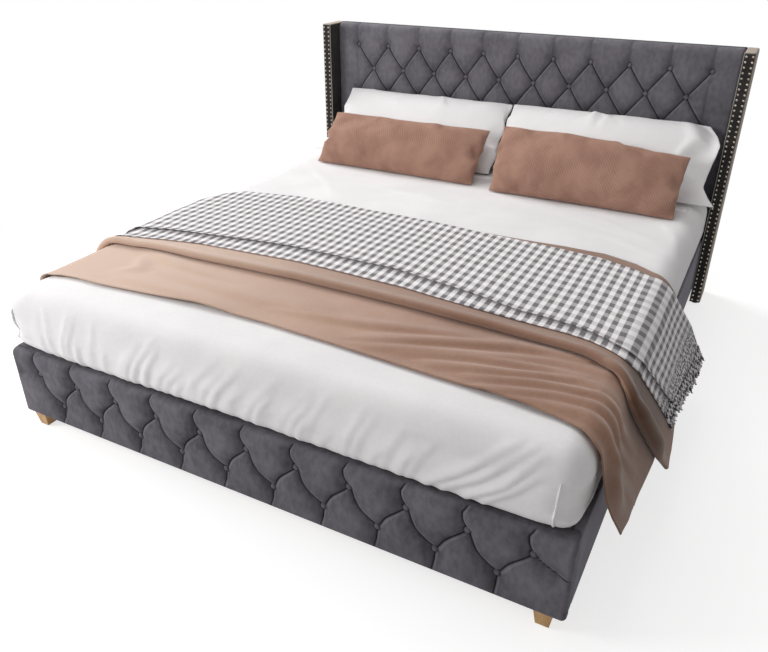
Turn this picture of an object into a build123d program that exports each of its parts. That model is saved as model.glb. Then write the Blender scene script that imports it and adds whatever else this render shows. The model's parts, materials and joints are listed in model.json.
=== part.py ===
from build123d import *
import math
import os

# Upholstered king bed: tufted wing headboard, tufted footboard, padded side rails, slatted base on a
# steel centre beam, and the mattress with its bedding. Millimetres. +X is the sleeper's left seen from
# the foot, +Y runs from foot to head, +Z is up. The origin is at the bottom centre of the bed's box.

# Mattress and the fits around it
mattress_width = 1800.0
mattress_length = 2000.0
mattress_height = 250.0
mattress_round = 12.0
mattress_foot_gap = 10.0
mattress_head_gap = 36.0
rail_play = 5.0
soft_gap = 0.3
hole_gap = 0.3
seam_gap = 1.0
overrun = 5.0

# Heights above the floor
ground_clearance = 56.0
rail_height = 241.0
mattress_recess = 82.0
head_height = 1075.0
glide_height = 6.0

# Side rails
rail_core_depth = 18.0
rail_foam = 6.0
rail_lining = 2.0

# Footboard
foot_pad_depth = 26.0
foot_core_depth = 32.0
foot_lining = 2.0
foot_row_low = 59.0
foot_row_rise = 101.0
foot_pitch = 167.0
foot_tuft_depth = 15.0
foot_pleat_depth = 8.0
foot_top_round = 22.0
foot_end_round = 14.0
foot_end_drop = 7.0
foot_low_pleat_share = 0.9
foot_top_pleat_shares = (1.0, 0.9, 0.5)
foot_overhang = 2.0

# Headboard
head_pad_depth = 38.0
head_board_depth = 15.0
batten_depth = 22.0
back_cloth = 1.5
head_foam = 6.0
head_pad_start = 8.0
head_row_drop = 95.0
head_row_pitch = 110.0
head_pitch = 165.0
head_tuft_depth = 24.0
head_pleat_depth = 12.0
head_top_round = 30.0
head_end_round = 24.0
head_end_drop = 14.0
head_low_pleat_shares = (0.3, 0.7)
head_top_pleat_shares = (0.9, 0.7, 0.4)
head_row_count = 5
tufts_across = 11
stile_width = 40.0
crossrail_height = 60.0

# Tuft buttons
button_radius = 10.0
button_height = 6.0
button_rim = 2.0
button_gap = 0.6
channel_rise_share = 0.4

# Wings
wing_gap = 1.0
wing_thickness = 45.0
wing_reach = 78.0
wing_padding = 7.5
wing_round = 5.0
piping_radius = 2.0
nail_radius = 4.3
nail_height = 2.4
nail_rim = 0.3
nail_pitch = 20.4
nail_rows = 52
nail_top_drop = 16.0
nail_spread = 24.5
wing_bolt_count = 4
wing_bolt_grip = 22.0
wing_glide_radius = 12.0

# Slats, ledges and centre beam
slat_width = 70.0
slat_thickness = 12.0
slat_count = 13
slat_end_gap = 3.0
slat_first = 50.0
strap_width = 25.0
strap_thickness = 1.5
strap_offset = 450.0
ledge_width = 25.0
ledge_height = 30.0
ledge_screw_count = 8
ledge_screw_radius = 2.5
ledge_screw_grip = 12.0
ledge_screw_inset = 90.0
beam_size = 40.0
beam_wall = 2.0
hanger_plate = 2.5
hanger_reach = 45.0
hanger_ear = 26.0
centre_leg_size = 32.0
centre_leg_plate = 3.0
centre_leg_plate_length = 92.0
centre_leg_bolt_radius = 3.0
centre_leg_bolt_spread = 33.0
centre_leg_bolt_tip = 10.0
centre_leg_spacing = 620.0
insert_flange = 2.0
insert_plug = 25.0
levelling_disc_radius = 22.0
levelling_disc_height = 8.0
levelling_stud_radius = 5.0
levelling_stud_spare = 11.0
levelling_travel = 12.0

# Corner brackets and bolts
bracket_plate = 2.5
bracket_width = 60.0
bracket_height = 96.0
bracket_rise = 12.0
bracket_bolt_spread = 60.0
bolt_radius = 4.0
bolt_head_radius = 8.0
bolt_head_height = 4.0
bolt_grip = 14.0

# Wooden front legs
leg_top_size = 50.0
leg_foot_size = 35.0
leg_inset = 53.0
leg_glide_radius = 12.0
leg_glide_height = 3.0
hanger_bolt_radius = 4.0
hanger_bolt_up = 34.0
hanger_bolt_down = 26.0

# White bedding
bedding_top = 35.0
bedding_side = 28.0
bedding_foot = 36.0
bedding_head = 14.0
bedding_top_round = 60.0
bedding_corner_round = 70.0
bedding_foot_round = 42.0
tuck_thickness = 2.0
tuck_depth = 60.0

# Tan blanket and checked throw, measured from the front of the footboard
blanket_thickness = 12.0
blanket_fold_thickness = 14.0
throw_thickness = 6.0
blanket_front = 190.0
blanket_fold_front = 485.0
blanket_fold_back = 1150.0
blanket_back = 1185.0
throw_front = 590.0
throw_step = 700.0
throw_back = 1125.0
blanket_drop = 226.0
throw_drop = 150.0
blanket_flare = 86.0
throw_flare = 66.0
fringe_length = 58.0
fringe_width = 5.0
fringe_depth = 4.0
fringe_count = 40

# Where the second layers begin and end, as shares of each cloth's width, and how short that step is
blanket_width = blanket_back - blanket_front
fold_front_share = (blanket_fold_front - blanket_front) / blanket_width
fold_back_share = (blanket_fold_back - blanket_front) / blanket_width
throw_step_share = (throw_step - throw_front) / (throw_back - throw_front)
layer_share = 0.01

# Each row is place along the cloth, hem drop and flare, as shares of the sizes above, and its layers
blanket_shares = [
    (0.00, 1.00, 0.78, 1),
    (0.11, 0.90, 0.62, 1),
    (0.22, 0.78, 0.66, 1),
    (fold_front_share - layer_share, 0.68, 0.60, 1),
    (fold_front_share, 0.74, 0.76, 2),
    (0.38, 1.20, 1.18, 2),
    (0.50, 0.80, 0.84, 2),
    (0.67, 0.66, 0.70, 2),
    (fold_back_share - layer_share, 0.66, 0.68, 2),
    (fold_back_share, 0.62, 0.58, 1),
    (1.00, 0.62, 0.58, 1),
]
throw_shares = [
    (0.00, 1.00, 1.00, 1),
    (throw_step_share - layer_share, 0.96, 0.90, 1),
    (throw_step_share, 0.96, 0.90, 2),
    (0.40, 1.00, 1.00, 2),
    (0.60, 0.95, 0.91, 2),
    (0.80, 0.98, 1.00, 2),
    (1.00, 0.94, 0.93, 2),
]

# Pillows and lumbar cushions
pillow_width = 800.0
pillow_height = 385.0
pillow_thickness = 150.0
pillow_edge = 12.0
pillow_lean = 42.0
pillow_left_x = -391.0
pillow_right_x = 437.0
cushion_width = 800.0
cushion_height = 300.0
cushion_thickness = 118.0
cushion_edge = 8.0
cushion_lean = 40.0
cushion_left_x = -402.0
cushion_right_x = 440.0
slide_steps = 8
end_draw = 0.05
side_draw = 0.09
section_shares = [-1.0, -0.86, -0.55, 0.0, 0.55, 0.86, 1.0]

# Places worked out from the sizes above, along Y from the foot to the head
foot_depth = foot_pad_depth + foot_core_depth + foot_lining
frame_depth = head_pad_depth + head_board_depth + batten_depth + back_cloth
bed_length = foot_depth + mattress_foot_gap + mattress_length + mattress_head_gap + frame_depth
y_foot = -bed_length / 2
y_foot_core = y_foot + foot_pad_depth
y_foot_lining = y_foot_core + foot_core_depth
y_foot_inner = y_foot_lining + foot_lining
y_mattress = y_foot_inner + mattress_foot_gap
y_mattress_end = y_mattress + mattress_length
y_head_pad = y_mattress_end + mattress_head_gap
y_head_board = y_head_pad + head_pad_depth
y_batten = y_head_board + head_board_depth
y_back_cloth = y_batten + batten_depth
y_back = y_back_cloth + back_cloth
y_wing = y_head_pad - wing_reach

# Across X, from the centre out
half_mattress = mattress_width / 2
x_rail_inner = half_mattress + rail_play
x_rail_core = x_rail_inner + rail_lining
x_rail_foam = x_rail_core + rail_core_depth
x_rail_outer = x_rail_foam + rail_foam
x_wing_inner = x_rail_outer + wing_gap
x_wing_outer = x_wing_inner + wing_thickness

# Up Z, from the floor
z_rail = ground_clearance
z_rail_top = z_rail + rail_height
z_slat_top = z_rail_top - mattress_recess
z_ledge_top = z_slat_top - slat_thickness
z_mattress_top = z_slat_top + mattress_height
z_bedding_top = z_mattress_top + bedding_top
z_beam = z_ledge_top - beam_size
z_pad_start = z_rail_top + head_pad_start


def block(x0, x1, y0, y1, z0, z1):
    """A box between two corners."""
    size = Box(x1 - x0, y1 - y0, z1 - z0, align=(Align.MIN, Align.MIN, Align.MIN))
    return Pos(x0, y0, z0) * size


def rod(radius, length, place, turn):
    """A round bar that starts at a place and runs along its turned +Z."""
    bar = Cylinder(radius, length, align=(Align.CENTER, Align.CENTER, Align.MIN))
    return Pos(*place) * turn * bar


def bolt(radius, length, head_radius, head_height, place, turn):
    """A headed bolt: the place is under the head, and the shank runs along its turned +Z."""
    shank = Cylinder(radius, length, align=(Align.CENTER, Align.CENTER, Align.MIN))
    head = Cylinder(head_radius, head_height, align=(Align.CENTER, Align.CENTER, Align.MAX))
    return Pos(*place) * turn * (shank + head)


def group(solids):
    """Separate solids in one node."""
    return Compound(children=[one for shape in solids for one in shape.solids()])


def save(name, shape):
    """Write one sub-part."""
    export_step(shape, os.path.join("parts", name + ".step"))
    print(name, len(shape.solids()), "solids")


toward_x = Rot(0, 90, 0)
toward_minus_x = Rot(0, -90, 0)
toward_y = Rot(-90, 0, 0)
toward_minus_y = Rot(90, 0, 0)
toward_z = Rot(0, 0, 0)


# Tufted pads

def tuft_rows(z_rows, kinds, crown_y):
    """Rows of the flat front: place in Y and Z, the way into the pad, the kind and its parity."""
    into = (1.0, 0.0)
    return [((crown_y, z), into, kind, parity) for z, (kind, parity) in zip(z_rows, kinds)]


def rounded_rows(crown_y, top, radius, back_y, parity, shares):
    """Rows that carry the pleats over the rounded top edge to the back."""
    rows = []
    for step, share in enumerate(shares):
        angle = math.radians(90 * step / (len(shares) - 1))
        y = crown_y + radius - radius * math.cos(angle)
        z = top - radius + radius * math.sin(angle)
        rows.append(((y, z), (math.cos(angle), -math.sin(angle)), share, parity))
    rows.append(((back_y, top), (0.0, -1.0), 0.0, parity))
    return rows


def column_places(half_width, end_round, pitch):
    """Columns across the pad at half the button pitch, with the rounded ends."""
    half = tufts_across - 1
    inner = [index * pitch / 2 for index in range(-half, half + 1)]
    shoulder = half_width - end_round
    return [-half_width, -shoulder] + inner + [shoulder, half_width]


def tuft_point(row, column, x, columns, tuft_depth, pleat_depth, end_drop):
    """One point of the pad's face: sunk at a button, at a pleat and at the two ends."""
    (y, z), into, kind, parity = row
    index = column - 2 - (tufts_across - 1)
    inner = abs(index) <= tufts_across - 1
    depth = 0.0
    if column in (0, len(columns) - 1):
        depth = end_drop if kind != 0.0 else 0.0
    elif inner and (index + parity) % 2 == 0:
        depth = tuft_depth if kind == "tuft" else pleat_depth * kind
    return (x, y + into[0] * depth, z + into[1] * depth)


def triangle(a, b, c):
    """A flat three-sided face."""
    return Face(Wire.make_polygon([Vector(*a), Vector(*b), Vector(*c)], close=True))


def middle_point(a, b, lift_y):
    """The middle of a diagonal, lifted towards the room as a channel rises between its buttons."""
    return tuple((p + q) / 2 - lift for p, q, lift in zip(a, b, (0.0, lift_y, 0.0)))


def quad_faces(a, b, c, d, diagonal, lift_y):
    """Four corners, counter-clockwise, as triangles: about a sunk diagonal, or split in two."""
    if diagonal == "rising":
        mid = middle_point(a, c, lift_y)
    elif diagonal == "falling":
        mid = middle_point(b, d, lift_y)
    else:
        return [triangle(a, b, c), triangle(a, c, d)]
    return [triangle(a, b, mid), triangle(b, c, mid), triangle(c, d, mid), triangle(d, a, mid)]


def tufted_pad(half_width, rows, pitch, tuft_depth, pleat_depth, end_round, end_drop, back_y):
    """A closed pad whose face dips to each button, rises between them and pleats at its edges."""
    columns = column_places(half_width, end_round, pitch)
    net = [
        [tuft_point(row, column, x, columns, tuft_depth, pleat_depth, end_drop)
         for column, x in enumerate(columns)]
        for row in rows
    ]
    lift = tuft_depth * channel_rise_share
    faces = []
    for low in range(len(rows) - 1):
        both_tufts = rows[low][2] == "tuft" and rows[low + 1][2] == "tuft"
        for column in range(len(columns) - 1):
            a, b = net[low][column], net[low][column + 1]
            d, c = net[low + 1][column], net[low + 1][column + 1]
            index = column - 2 - (tufts_across - 1)
            inside = 2 <= column < len(columns) - 3
            way = "none"
            if both_tufts and inside:
                way = "rising" if (index + rows[low][3]) % 2 == 0 else "falling"
            faces += quad_faces(a, b, c, d, way, lift)
    start_z = rows[0][0][1]
    for edge in (0, -1):
        x = columns[edge]
        outline = [line[edge] for line in net] + [(x, back_y, start_z)]
        faces.append(Face(Wire.make_polygon([Vector(*p) for p in outline], close=True)))
    under = list(net[0]) + [(half_width, back_y, start_z), (-half_width, back_y, start_z)]
    faces.append(Face(Wire.make_polygon([Vector(*p) for p in under], close=True)))
    back = [(-half_width, back_y, start_z), (half_width, back_y, start_z)] + list(reversed(net[-1]))
    faces.append(Face(Wire.make_polygon([Vector(*p) for p in back], close=True)))
    pad = Solid(Shell(faces))
    return pad if pad.volume > 0 else -pad


def button_places(rows, pitch):
    """Where the buttons sit: every other column of each tufted row."""
    half = tufts_across - 1
    return [
        (index * pitch / 2, z)
        for (_, z), _, kind, parity in rows if kind == "tuft"
        for index in range(-half, half + 1) if (index + parity) % 2 == 0
    ]


def with_button_seats(pad, rows, pitch, crown_y, tuft_depth):
    """Flat round seats at the bottom of the dips."""
    seats = [
        rod(button_radius + button_gap, tuft_depth + overrun, (x, crown_y + tuft_depth, z), toward_minus_y)
        for x, z in button_places(rows, pitch)
    ]
    return pad - seats


def dome(radius, height, rim):
    """A round head with a short straight rim, domed along +Z."""
    rise = height - rim
    ball_radius = (radius ** 2 + rise ** 2) / (2 * rise)
    ball = Pos(0, 0, height - ball_radius) * Sphere(ball_radius)
    return ball & Cylinder(radius, height, align=(Align.CENTER, Align.CENTER, Align.MIN))


def tuft_buttons(rows, pitch, crown_y, tuft_depth):
    """Covered buttons, domed towards the room, seated in the dips."""
    one = toward_minus_y * dome(button_radius, button_height, button_rim)
    seat_y = crown_y + tuft_depth
    return group([Pos(x, seat_y, z) * one for x, z in button_places(rows, pitch)])


def head_rows():
    """Rows of the headboard pad, from its hidden lower edge to its top."""
    count = head_row_count
    first = head_height - head_row_drop
    tufts = [first - index * head_row_pitch for index in range(count)]
    tufts.reverse()
    low = (z_pad_start + tufts[0]) / 2
    parities = [(count - 1 - index) % 2 for index in range(count)]
    kinds = [(share, parities[0]) for share in head_low_pleat_shares]
    kinds += [("tuft", parity) for parity in parities]
    rows = tuft_rows([z_pad_start, low] + tufts, kinds, y_head_pad)
    return rows + rounded_rows(
        y_head_pad, head_height, head_top_round, y_head_board, 0, head_top_pleat_shares,
    )


def foot_rows():
    """Rows of the footboard pad: two of buttons, with pleats to both edges."""
    low = z_rail + foot_row_low
    z_rows = [z_rail, low, low + foot_row_rise]
    kinds = [(foot_low_pleat_share, 1), ("tuft", 1), ("tuft", 0)]
    rows = tuft_rows(z_rows, kinds, y_foot)
    return rows + rounded_rows(
        y_foot, z_rail_top, foot_top_round, y_foot_core, 0, foot_top_pleat_shares,
    )


def headboard_pad():
    """Deep-tufted panel between the wings."""
    rows = head_rows()
    pad = tufted_pad(
        x_wing_inner - soft_gap, rows, head_pitch, head_tuft_depth, head_pleat_depth,
        head_end_round, head_end_drop, y_head_board,
    )
    return with_button_seats(pad, rows, head_pitch, y_head_pad, head_tuft_depth)


def footboard_pad():
    """Tufted front of the footboard."""
    rows = foot_rows()
    pad = tufted_pad(
        x_rail_outer + foot_overhang, rows, foot_pitch, foot_tuft_depth, foot_pleat_depth,
        foot_end_round, foot_end_drop, y_foot_core,
    )
    return with_button_seats(pad, rows, foot_pitch, y_foot, foot_tuft_depth)


# Bolts that join the frame, as places under the head and ways of their shanks

def bracket_bolt_places():
    """Two bolts into each board and two into each rail, at all four corners."""
    places = []
    z_mid = z_rail + bracket_rise + bracket_height / 2
    for side in (-1, 1):
        for y_face, inward in ((y_foot_inner, 1), (y_head_board, -1)):
            for drop in (-1, 1):
                z = z_mid + drop * bracket_bolt_spread / 2
                across = side * (x_rail_inner - bracket_width / 2 - bracket_plate / 2)
                along = y_face + inward * (bracket_width / 2 + bracket_plate / 2 + seam_gap)
                board_turn = toward_minus_y if inward > 0 else toward_y
                rail_turn = toward_x if side > 0 else toward_minus_x
                places.append(((across, y_face + inward * bracket_plate, z), board_turn))
                places.append(((side * (x_rail_inner - bracket_plate), along, z), rail_turn))
    return places


def hanger_bolt_places():
    """Two bolts through the ears of the beam's saddle at each end."""
    z = z_beam + beam_size / 2
    reach = beam_size / 2 + hanger_ear / 2 + hanger_plate
    places = []
    for side in (-1, 1):
        places.append(((side * reach, y_foot_inner + hanger_plate, z), toward_minus_y))
        places.append(((side * reach, y_head_board - hanger_plate, z), toward_y))
    return places


def frame_bolt(place, turn):
    """One frame bolt."""
    return bolt(bolt_radius, bolt_grip + bracket_plate, bolt_head_radius, bolt_head_height, place, turn)


def frame_holes():
    """Clearance for the shanks of all frame bolts."""
    reach = bolt_grip + bracket_plate + hole_gap
    spots = bracket_bolt_places() + hanger_bolt_places()
    return [rod(bolt_radius + hole_gap, reach, place, turn) for place, turn in spots]


def wing_bolt_places(side):
    """Bolts through the stile into the wing, evenly up the stile."""
    y = y_batten + batten_depth / 2
    x = side * (x_wing_inner - stile_width)
    step = (head_height - z_rail_top) / wing_bolt_count
    turn = toward_x if side > 0 else toward_minus_x
    start = z_rail_top - crossrail_height
    return [((x, y, start + index * step), turn) for index in range(wing_bolt_count)]


def wing_bolt_length():
    """Through the stile and the padding, into the wing's timber."""
    return stile_width + wing_padding + wing_bolt_grip


def wing_holes(side):
    """Clearance for the wing bolts' shanks."""
    reach = wing_bolt_length() + hole_gap
    return [rod(bolt_radius + hole_gap, reach, place, turn) for place, turn in wing_bolt_places(side)]


def wing_bolts():
    """The bolts that hold both wings to the headboard's frame."""
    return group([
        bolt(bolt_radius, wing_bolt_length(), bolt_head_radius, bolt_head_height, place, turn)
        for side in (-1, 1) for place, turn in wing_bolt_places(side)
    ])


def bracket_bolts():
    """The bolts of the corner brackets."""
    return group([frame_bolt(place, turn) for place, turn in bracket_bolt_places()])


def hanger_bolts():
    """The bolts of the beam's saddles."""
    return group([frame_bolt(place, turn) for place, turn in hanger_bolt_places()])


# Headboard

def headboard_board():
    """Plywood panel behind the pad, down to the rails' underside."""
    half = x_wing_inner - soft_gap
    board = block(-half, half, y_head_board, y_batten, z_rail, head_height - head_foam)
    return board - frame_holes()


def headboard_stiles():
    """Upright timbers at both ends of the panel."""
    inner = x_wing_inner - stile_width
    stiles = []
    for side in (-1, 1):
        x0, x1 = sorted((side * inner, side * (x_wing_inner - soft_gap)))
        stile = block(x0, x1, y_batten, y_back_cloth, z_rail, head_height - head_foam)
        stiles.append(stile - wing_holes(side) - frame_holes())
    return group(stiles)


def headboard_crossrails():
    """Level timbers between the stiles: bottom, middle and top."""
    half = x_wing_inner - stile_width
    top = head_height - head_foam - crossrail_height
    middle = (z_rail + top) / 2
    rails = [
        block(-half, half, y_batten, y_back_cloth, z, z + crossrail_height)
        for z in (z_rail, middle, top)
    ]
    return group([rail - frame_holes() for rail in rails])


def headboard_back_cover():
    """Cloth over the back, with the padded strip that wraps over the top."""
    half = x_wing_inner - soft_gap
    cloth = block(-half, half, y_back_cloth, y_back, z_rail, head_height - head_foam)
    strip = block(-half, half, y_head_board, y_back, head_height - head_foam, head_height)
    return cloth + strip


# Wings

def wing_core(side):
    """Timber wing inside its padding, open to the glides below."""
    x0, x1 = sorted((side * (x_wing_inner + wing_padding), side * (x_wing_outer - wing_padding)))
    core = block(
        x0, x1, y_wing + wing_padding, y_back - wing_padding,
        glide_height, head_height - wing_padding,
    )
    return core - wing_holes(side)


def wing_cover(side):
    """Padded fabric on the wing's faces and top, with a rebate for the piping."""
    x0, x1 = sorted((side * x_wing_inner, side * x_wing_outer))
    body = block(x0, x1, y_wing, y_back, glide_height, head_height)
    outer_edges = body.edges().filter_by(Axis.Z).group_by(Axis.X)[-1 if side > 0 else 0]
    body = fillet(outer_edges, wing_round)
    rebate = 2 * piping_radius
    r0, r1 = sorted((side * x_wing_inner, side * (x_wing_inner + rebate)))
    groove = block(r0, r1, y_wing, y_wing + rebate, glide_height, head_height)
    c0, c1 = sorted((side * (x_wing_inner + wing_padding), side * (x_wing_outer - wing_padding)))
    inside = block(
        c0, c1, y_wing + wing_padding, y_back - wing_padding,
        glide_height - overrun, head_height - wing_padding,
    )
    return body - groove - inside - wing_holes(side)


def wing_piping(side):
    """Welt cord up the wing's inner front edge."""
    x = side * (x_wing_inner + piping_radius)
    length = head_height - glide_height
    return rod(piping_radius, length, (x, y_wing + piping_radius, glide_height), toward_z)


def wing_nails(side):
    """Two columns of domed nailheads on the wing's front."""
    middle = side * (x_wing_inner + wing_thickness / 2)
    turned = toward_minus_y * dome(nail_radius, nail_height, nail_rim)
    columns = (middle - nail_spread / 2, middle + nail_spread / 2)
    top = head_height - nail_top_drop
    return group([
        Pos(x, y_wing, top - index * nail_pitch) * turned
        for x in columns for index in range(nail_rows)
    ])


def wing_glides():
    """Two glides under each wing."""
    inset = wing_padding + wing_glide_radius
    middle = (x_wing_inner + x_wing_outer) / 2
    return group([
        rod(wing_glide_radius, glide_height, (side * middle, y, 0), toward_z)
        for side in (-1, 1) for y in (y_wing + inset, y_back - inset)
    ])


# Side rails

def rail_core(side):
    """Timber board of a side rail."""
    x0, x1 = sorted((side * x_rail_core, side * x_rail_foam))
    core = block(
        x0, x1, y_foot_inner + seam_gap, y_head_board - seam_gap,
        z_rail + rail_lining, z_rail_top - rail_foam,
    )
    return core - frame_holes() - ledge_holes()


def rail_cover(side):
    """Fabric and foam wrapped round the board."""
    x0, x1 = sorted((side * x_rail_inner, side * x_rail_outer))
    y0 = y_foot_inner + seam_gap
    y1 = y_head_board - seam_gap
    body = block(x0, x1, y0, y1, z_rail, z_rail_top)
    body = fillet(body.edges().filter_by(Axis.Y), rail_lining)
    c0, c1 = sorted((side * x_rail_core, side * x_rail_foam))
    inside = block(c0, c1, y0 - overrun, y1 + overrun, z_rail + rail_lining, z_rail_top - rail_foam)
    return body - inside - frame_holes() - ledge_holes()


def ledge_screw_places():
    """Screws through both ledges into the rails."""
    start = y_foot_inner + bracket_width + ledge_screw_inset
    end = y_head_board - bracket_width - ledge_screw_inset
    step = (end - start) / (ledge_screw_count - 1)
    z = z_ledge_top - ledge_height / 2
    x = x_rail_inner - ledge_width
    return [
        ((side * x, start + index * step, z), toward_x if side > 0 else toward_minus_x)
        for side in (-1, 1) for index in range(ledge_screw_count)
    ]


def ledge_screw_length():
    """Through the ledge and the lining, into the board."""
    return ledge_width + rail_lining + ledge_screw_grip


def ledge_holes():
    """Clearance for the ledge screws."""
    reach = ledge_screw_length() + hole_gap
    return [rod(ledge_screw_radius + hole_gap, reach, place, turn) for place, turn in ledge_screw_places()]


def ledge_screws():
    """Pan-head screws of both ledges."""
    radius = ledge_screw_radius
    return group([
        bolt(radius, ledge_screw_length(), 2 * radius, radius, place, turn)
        for place, turn in ledge_screw_places()
    ])


def slat_ledge(side):
    """Batten on the rail's inner face that carries the slats."""
    x0, x1 = sorted((side * (x_rail_inner - ledge_width), side * x_rail_inner))
    y0 = y_foot_inner + bracket_width / 2
    y1 = y_head_board - bracket_width / 2
    return block(x0, x1, y0, y1, z_ledge_top - ledge_height, z_ledge_top) - ledge_holes()


def slats():
    """Wooden slats across both ledges and the beam."""
    half = x_rail_inner - slat_end_gap
    start = y_mattress + slat_first
    step = (mattress_length - 2 * slat_first - slat_width) / (slat_count - 1)
    return group([
        block(-half, half, start + index * step, start + index * step + slat_width, z_ledge_top, z_slat_top)
        for index in range(slat_count)
    ])


def slat_straps():
    """Webbing under the slats that keeps them apart."""
    y0 = y_mattress + slat_first
    y1 = y_mattress_end - slat_first
    half = strap_width / 2
    return group([
        block(x - half, x + half, y0, y1, z_ledge_top - strap_thickness, z_ledge_top)
        for x in (-strap_offset, strap_offset)
    ])


# Footboard and front legs

def leg_x():
    """Distance of a front leg's middle from the bed's middle."""
    return x_rail_outer - leg_inset


def leg_y():
    """The leg's middle, under the footboard's timber."""
    return y_foot + foot_depth / 2 + foot_lining


def leg_holes():
    """Blind holes for the hanger bolts, in leg and footboard."""
    reach = hanger_bolt_up + hanger_bolt_down + 2 * hole_gap
    start = z_rail - hanger_bolt_down - hole_gap
    return [
        rod(hanger_bolt_radius + hole_gap, reach, (side * leg_x(), leg_y(), start), toward_z)
        for side in (-1, 1)
    ]


def footboard_core():
    """Timber board of the footboard."""
    half = x_rail_foam
    core = block(-half, half, y_foot_core, y_foot_lining, z_rail, z_rail_top - rail_foam)
    return core - frame_holes() - leg_holes()


def footboard_wrap():
    """Padded fabric over the board's top, ends and inner face."""
    half = x_rail_outer
    body = block(-half, half, y_foot_core, y_foot_inner, z_rail, z_rail_top)
    body = fillet(body.edges().filter_by(Axis.Z).sort_by(Axis.Y)[-2:], foot_lining)
    inside = block(
        -x_rail_foam, x_rail_foam, y_foot_core, y_foot_lining,
        z_rail - overrun, z_rail_top - rail_foam,
    )
    return body - inside - frame_holes()


def leg(side):
    """Tapered wooden leg with its hole for the hanger bolt."""
    height = z_rail - leg_glide_height
    wires = [
        Pos(0, 0, z) * Wire.make_rect(size, size)
        for z, size in ((0, leg_foot_size), (height, leg_top_size))
    ]
    post = Solid.make_loft(wires, ruled=True)
    return Pos(side * leg_x(), leg_y(), leg_glide_height) * post - leg_holes()


def leg_bolts():
    """Hanger bolts between the legs and the footboard."""
    length = hanger_bolt_up + hanger_bolt_down
    return group([
        rod(hanger_bolt_radius, length, (side * leg_x(), leg_y(), z_rail - hanger_bolt_down), toward_z)
        for side in (-1, 1)
    ])


def leg_glides():
    """Felt glides under the wooden legs."""
    return group([
        rod(leg_glide_radius, leg_glide_height, (side * leg_x(), leg_y(), 0), toward_z)
        for side in (-1, 1)
    ])


# Steelwork

def corner_bracket(side, y_face, inward):
    """Angle plate between a rail and the board at its end."""
    z0 = z_rail + bracket_rise
    z1 = z0 + bracket_height
    x_face = side * x_rail_inner
    x_far = side * (x_rail_inner - bracket_width)
    x_plate = side * (x_rail_inner - bracket_plate)
    y_far = y_face + inward * bracket_width
    y_plate = y_face + inward * bracket_plate
    on_board = block(*sorted((x_face, x_far)), *sorted((y_face, y_plate)), z0, z1)
    on_rail = block(*sorted((x_face, x_plate)), *sorted((y_face, y_far)), z0, z1)
    return on_board + on_rail - frame_holes()


def corner_brackets(y_face, inward):
    """The pair of brackets at one end of the bed."""
    return group([corner_bracket(side, y_face, inward) for side in (-1, 1)])


def centre_beam():
    """Square tube down the middle, holed for the legs' bolts."""
    half = beam_size / 2
    y0 = y_foot_inner + hanger_plate + seam_gap
    y1 = y_head_board - hanger_plate - seam_gap
    tube = block(-half, half, y0, y1, z_beam, z_ledge_top)
    bore = block(
        -half + beam_wall, half - beam_wall, y0 - overrun, y1 + overrun,
        z_beam + beam_wall, z_ledge_top - beam_wall,
    )
    return tube - bore - leg_bolt_holes()


def beam_hanger(y_face, inward):
    """Saddle that holds one end of the beam, with an ear each side."""
    half = beam_size / 2 + hole_gap
    outer = half + hanger_plate
    ear = outer + hanger_ear
    y_plate = y_face + inward * hanger_plate
    y_end = y_face + inward * hanger_reach
    z0 = z_beam - hanger_plate
    plate = block(-ear, ear, *sorted((y_face, y_plate)), z0, z_ledge_top)
    cradle = block(-outer, outer, *sorted((y_face, y_end)), z0, z_ledge_top)
    slot = block(-half, half, *sorted((y_plate, y_end + inward * overrun)), z_beam, z_ledge_top + overrun)
    return plate + (cradle - slot) - frame_holes()


def beam_hangers():
    """Both saddles."""
    return group([beam_hanger(y_foot_inner, 1), beam_hanger(y_head_board, -1)])


def centre_leg_y(index):
    """Places of the legs along the beam, about the middle of the mattress."""
    return (y_mattress + y_mattress_end) / 2 + index * centre_leg_spacing


def leg_bolt_places():
    """Two bolts from below through each leg's plate into the beam."""
    z = z_beam - centre_leg_plate
    return [
        (0, centre_leg_y(index) + side * centre_leg_bolt_spread, z)
        for index in (-1, 0, 1) for side in (-1, 1)
    ]


def leg_bolt_holes():
    """Clearance for those bolts."""
    reach = centre_leg_plate + centre_leg_bolt_tip + hole_gap
    radius = centre_leg_bolt_radius + hole_gap
    return [rod(radius, reach, place, toward_z) for place in leg_bolt_places()]


def centre_leg_bolts():
    """Bolts of the centre legs."""
    radius = centre_leg_bolt_radius
    length = centre_leg_plate + centre_leg_bolt_tip
    return group([
        bolt(radius, length, 2 * radius, radius, place, toward_z)
        for place in leg_bolt_places()
    ])


def centre_leg(index):
    """Square tube leg with its welded top plate."""
    y = centre_leg_y(index)
    half = centre_leg_size / 2
    hollow = half - beam_wall
    foot = levelling_disc_height + insert_flange
    top = z_beam - centre_leg_plate
    tube = block(-half, half, y - half, y + half, foot, top)
    bore = block(-hollow, hollow, y - hollow, y + hollow, foot - overrun, top)
    reach = centre_leg_plate_length / 2
    plate = block(-beam_size / 2, beam_size / 2, y - reach, y + reach, top, z_beam)
    return tube - bore + plate - leg_bolt_holes()


def centre_leg_inserts():
    """Threaded plugs in the legs' lower ends."""
    half = centre_leg_size / 2
    hollow = half - beam_wall
    inserts = []
    for index in (-1, 0, 1):
        y = centre_leg_y(index)
        z = levelling_disc_height
        flange = block(-half, half, y - half, y + half, z, z + insert_flange)
        plug = block(-hollow, hollow, y - hollow, y + hollow, z, z + insert_flange + insert_plug)
        reach = insert_flange + insert_plug + 2 * overrun
        bore = rod(levelling_stud_radius + hole_gap, reach, (0, y, z - overrun), toward_z)
        inserts.append(flange + plug - bore)
    return group(inserts)


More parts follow.
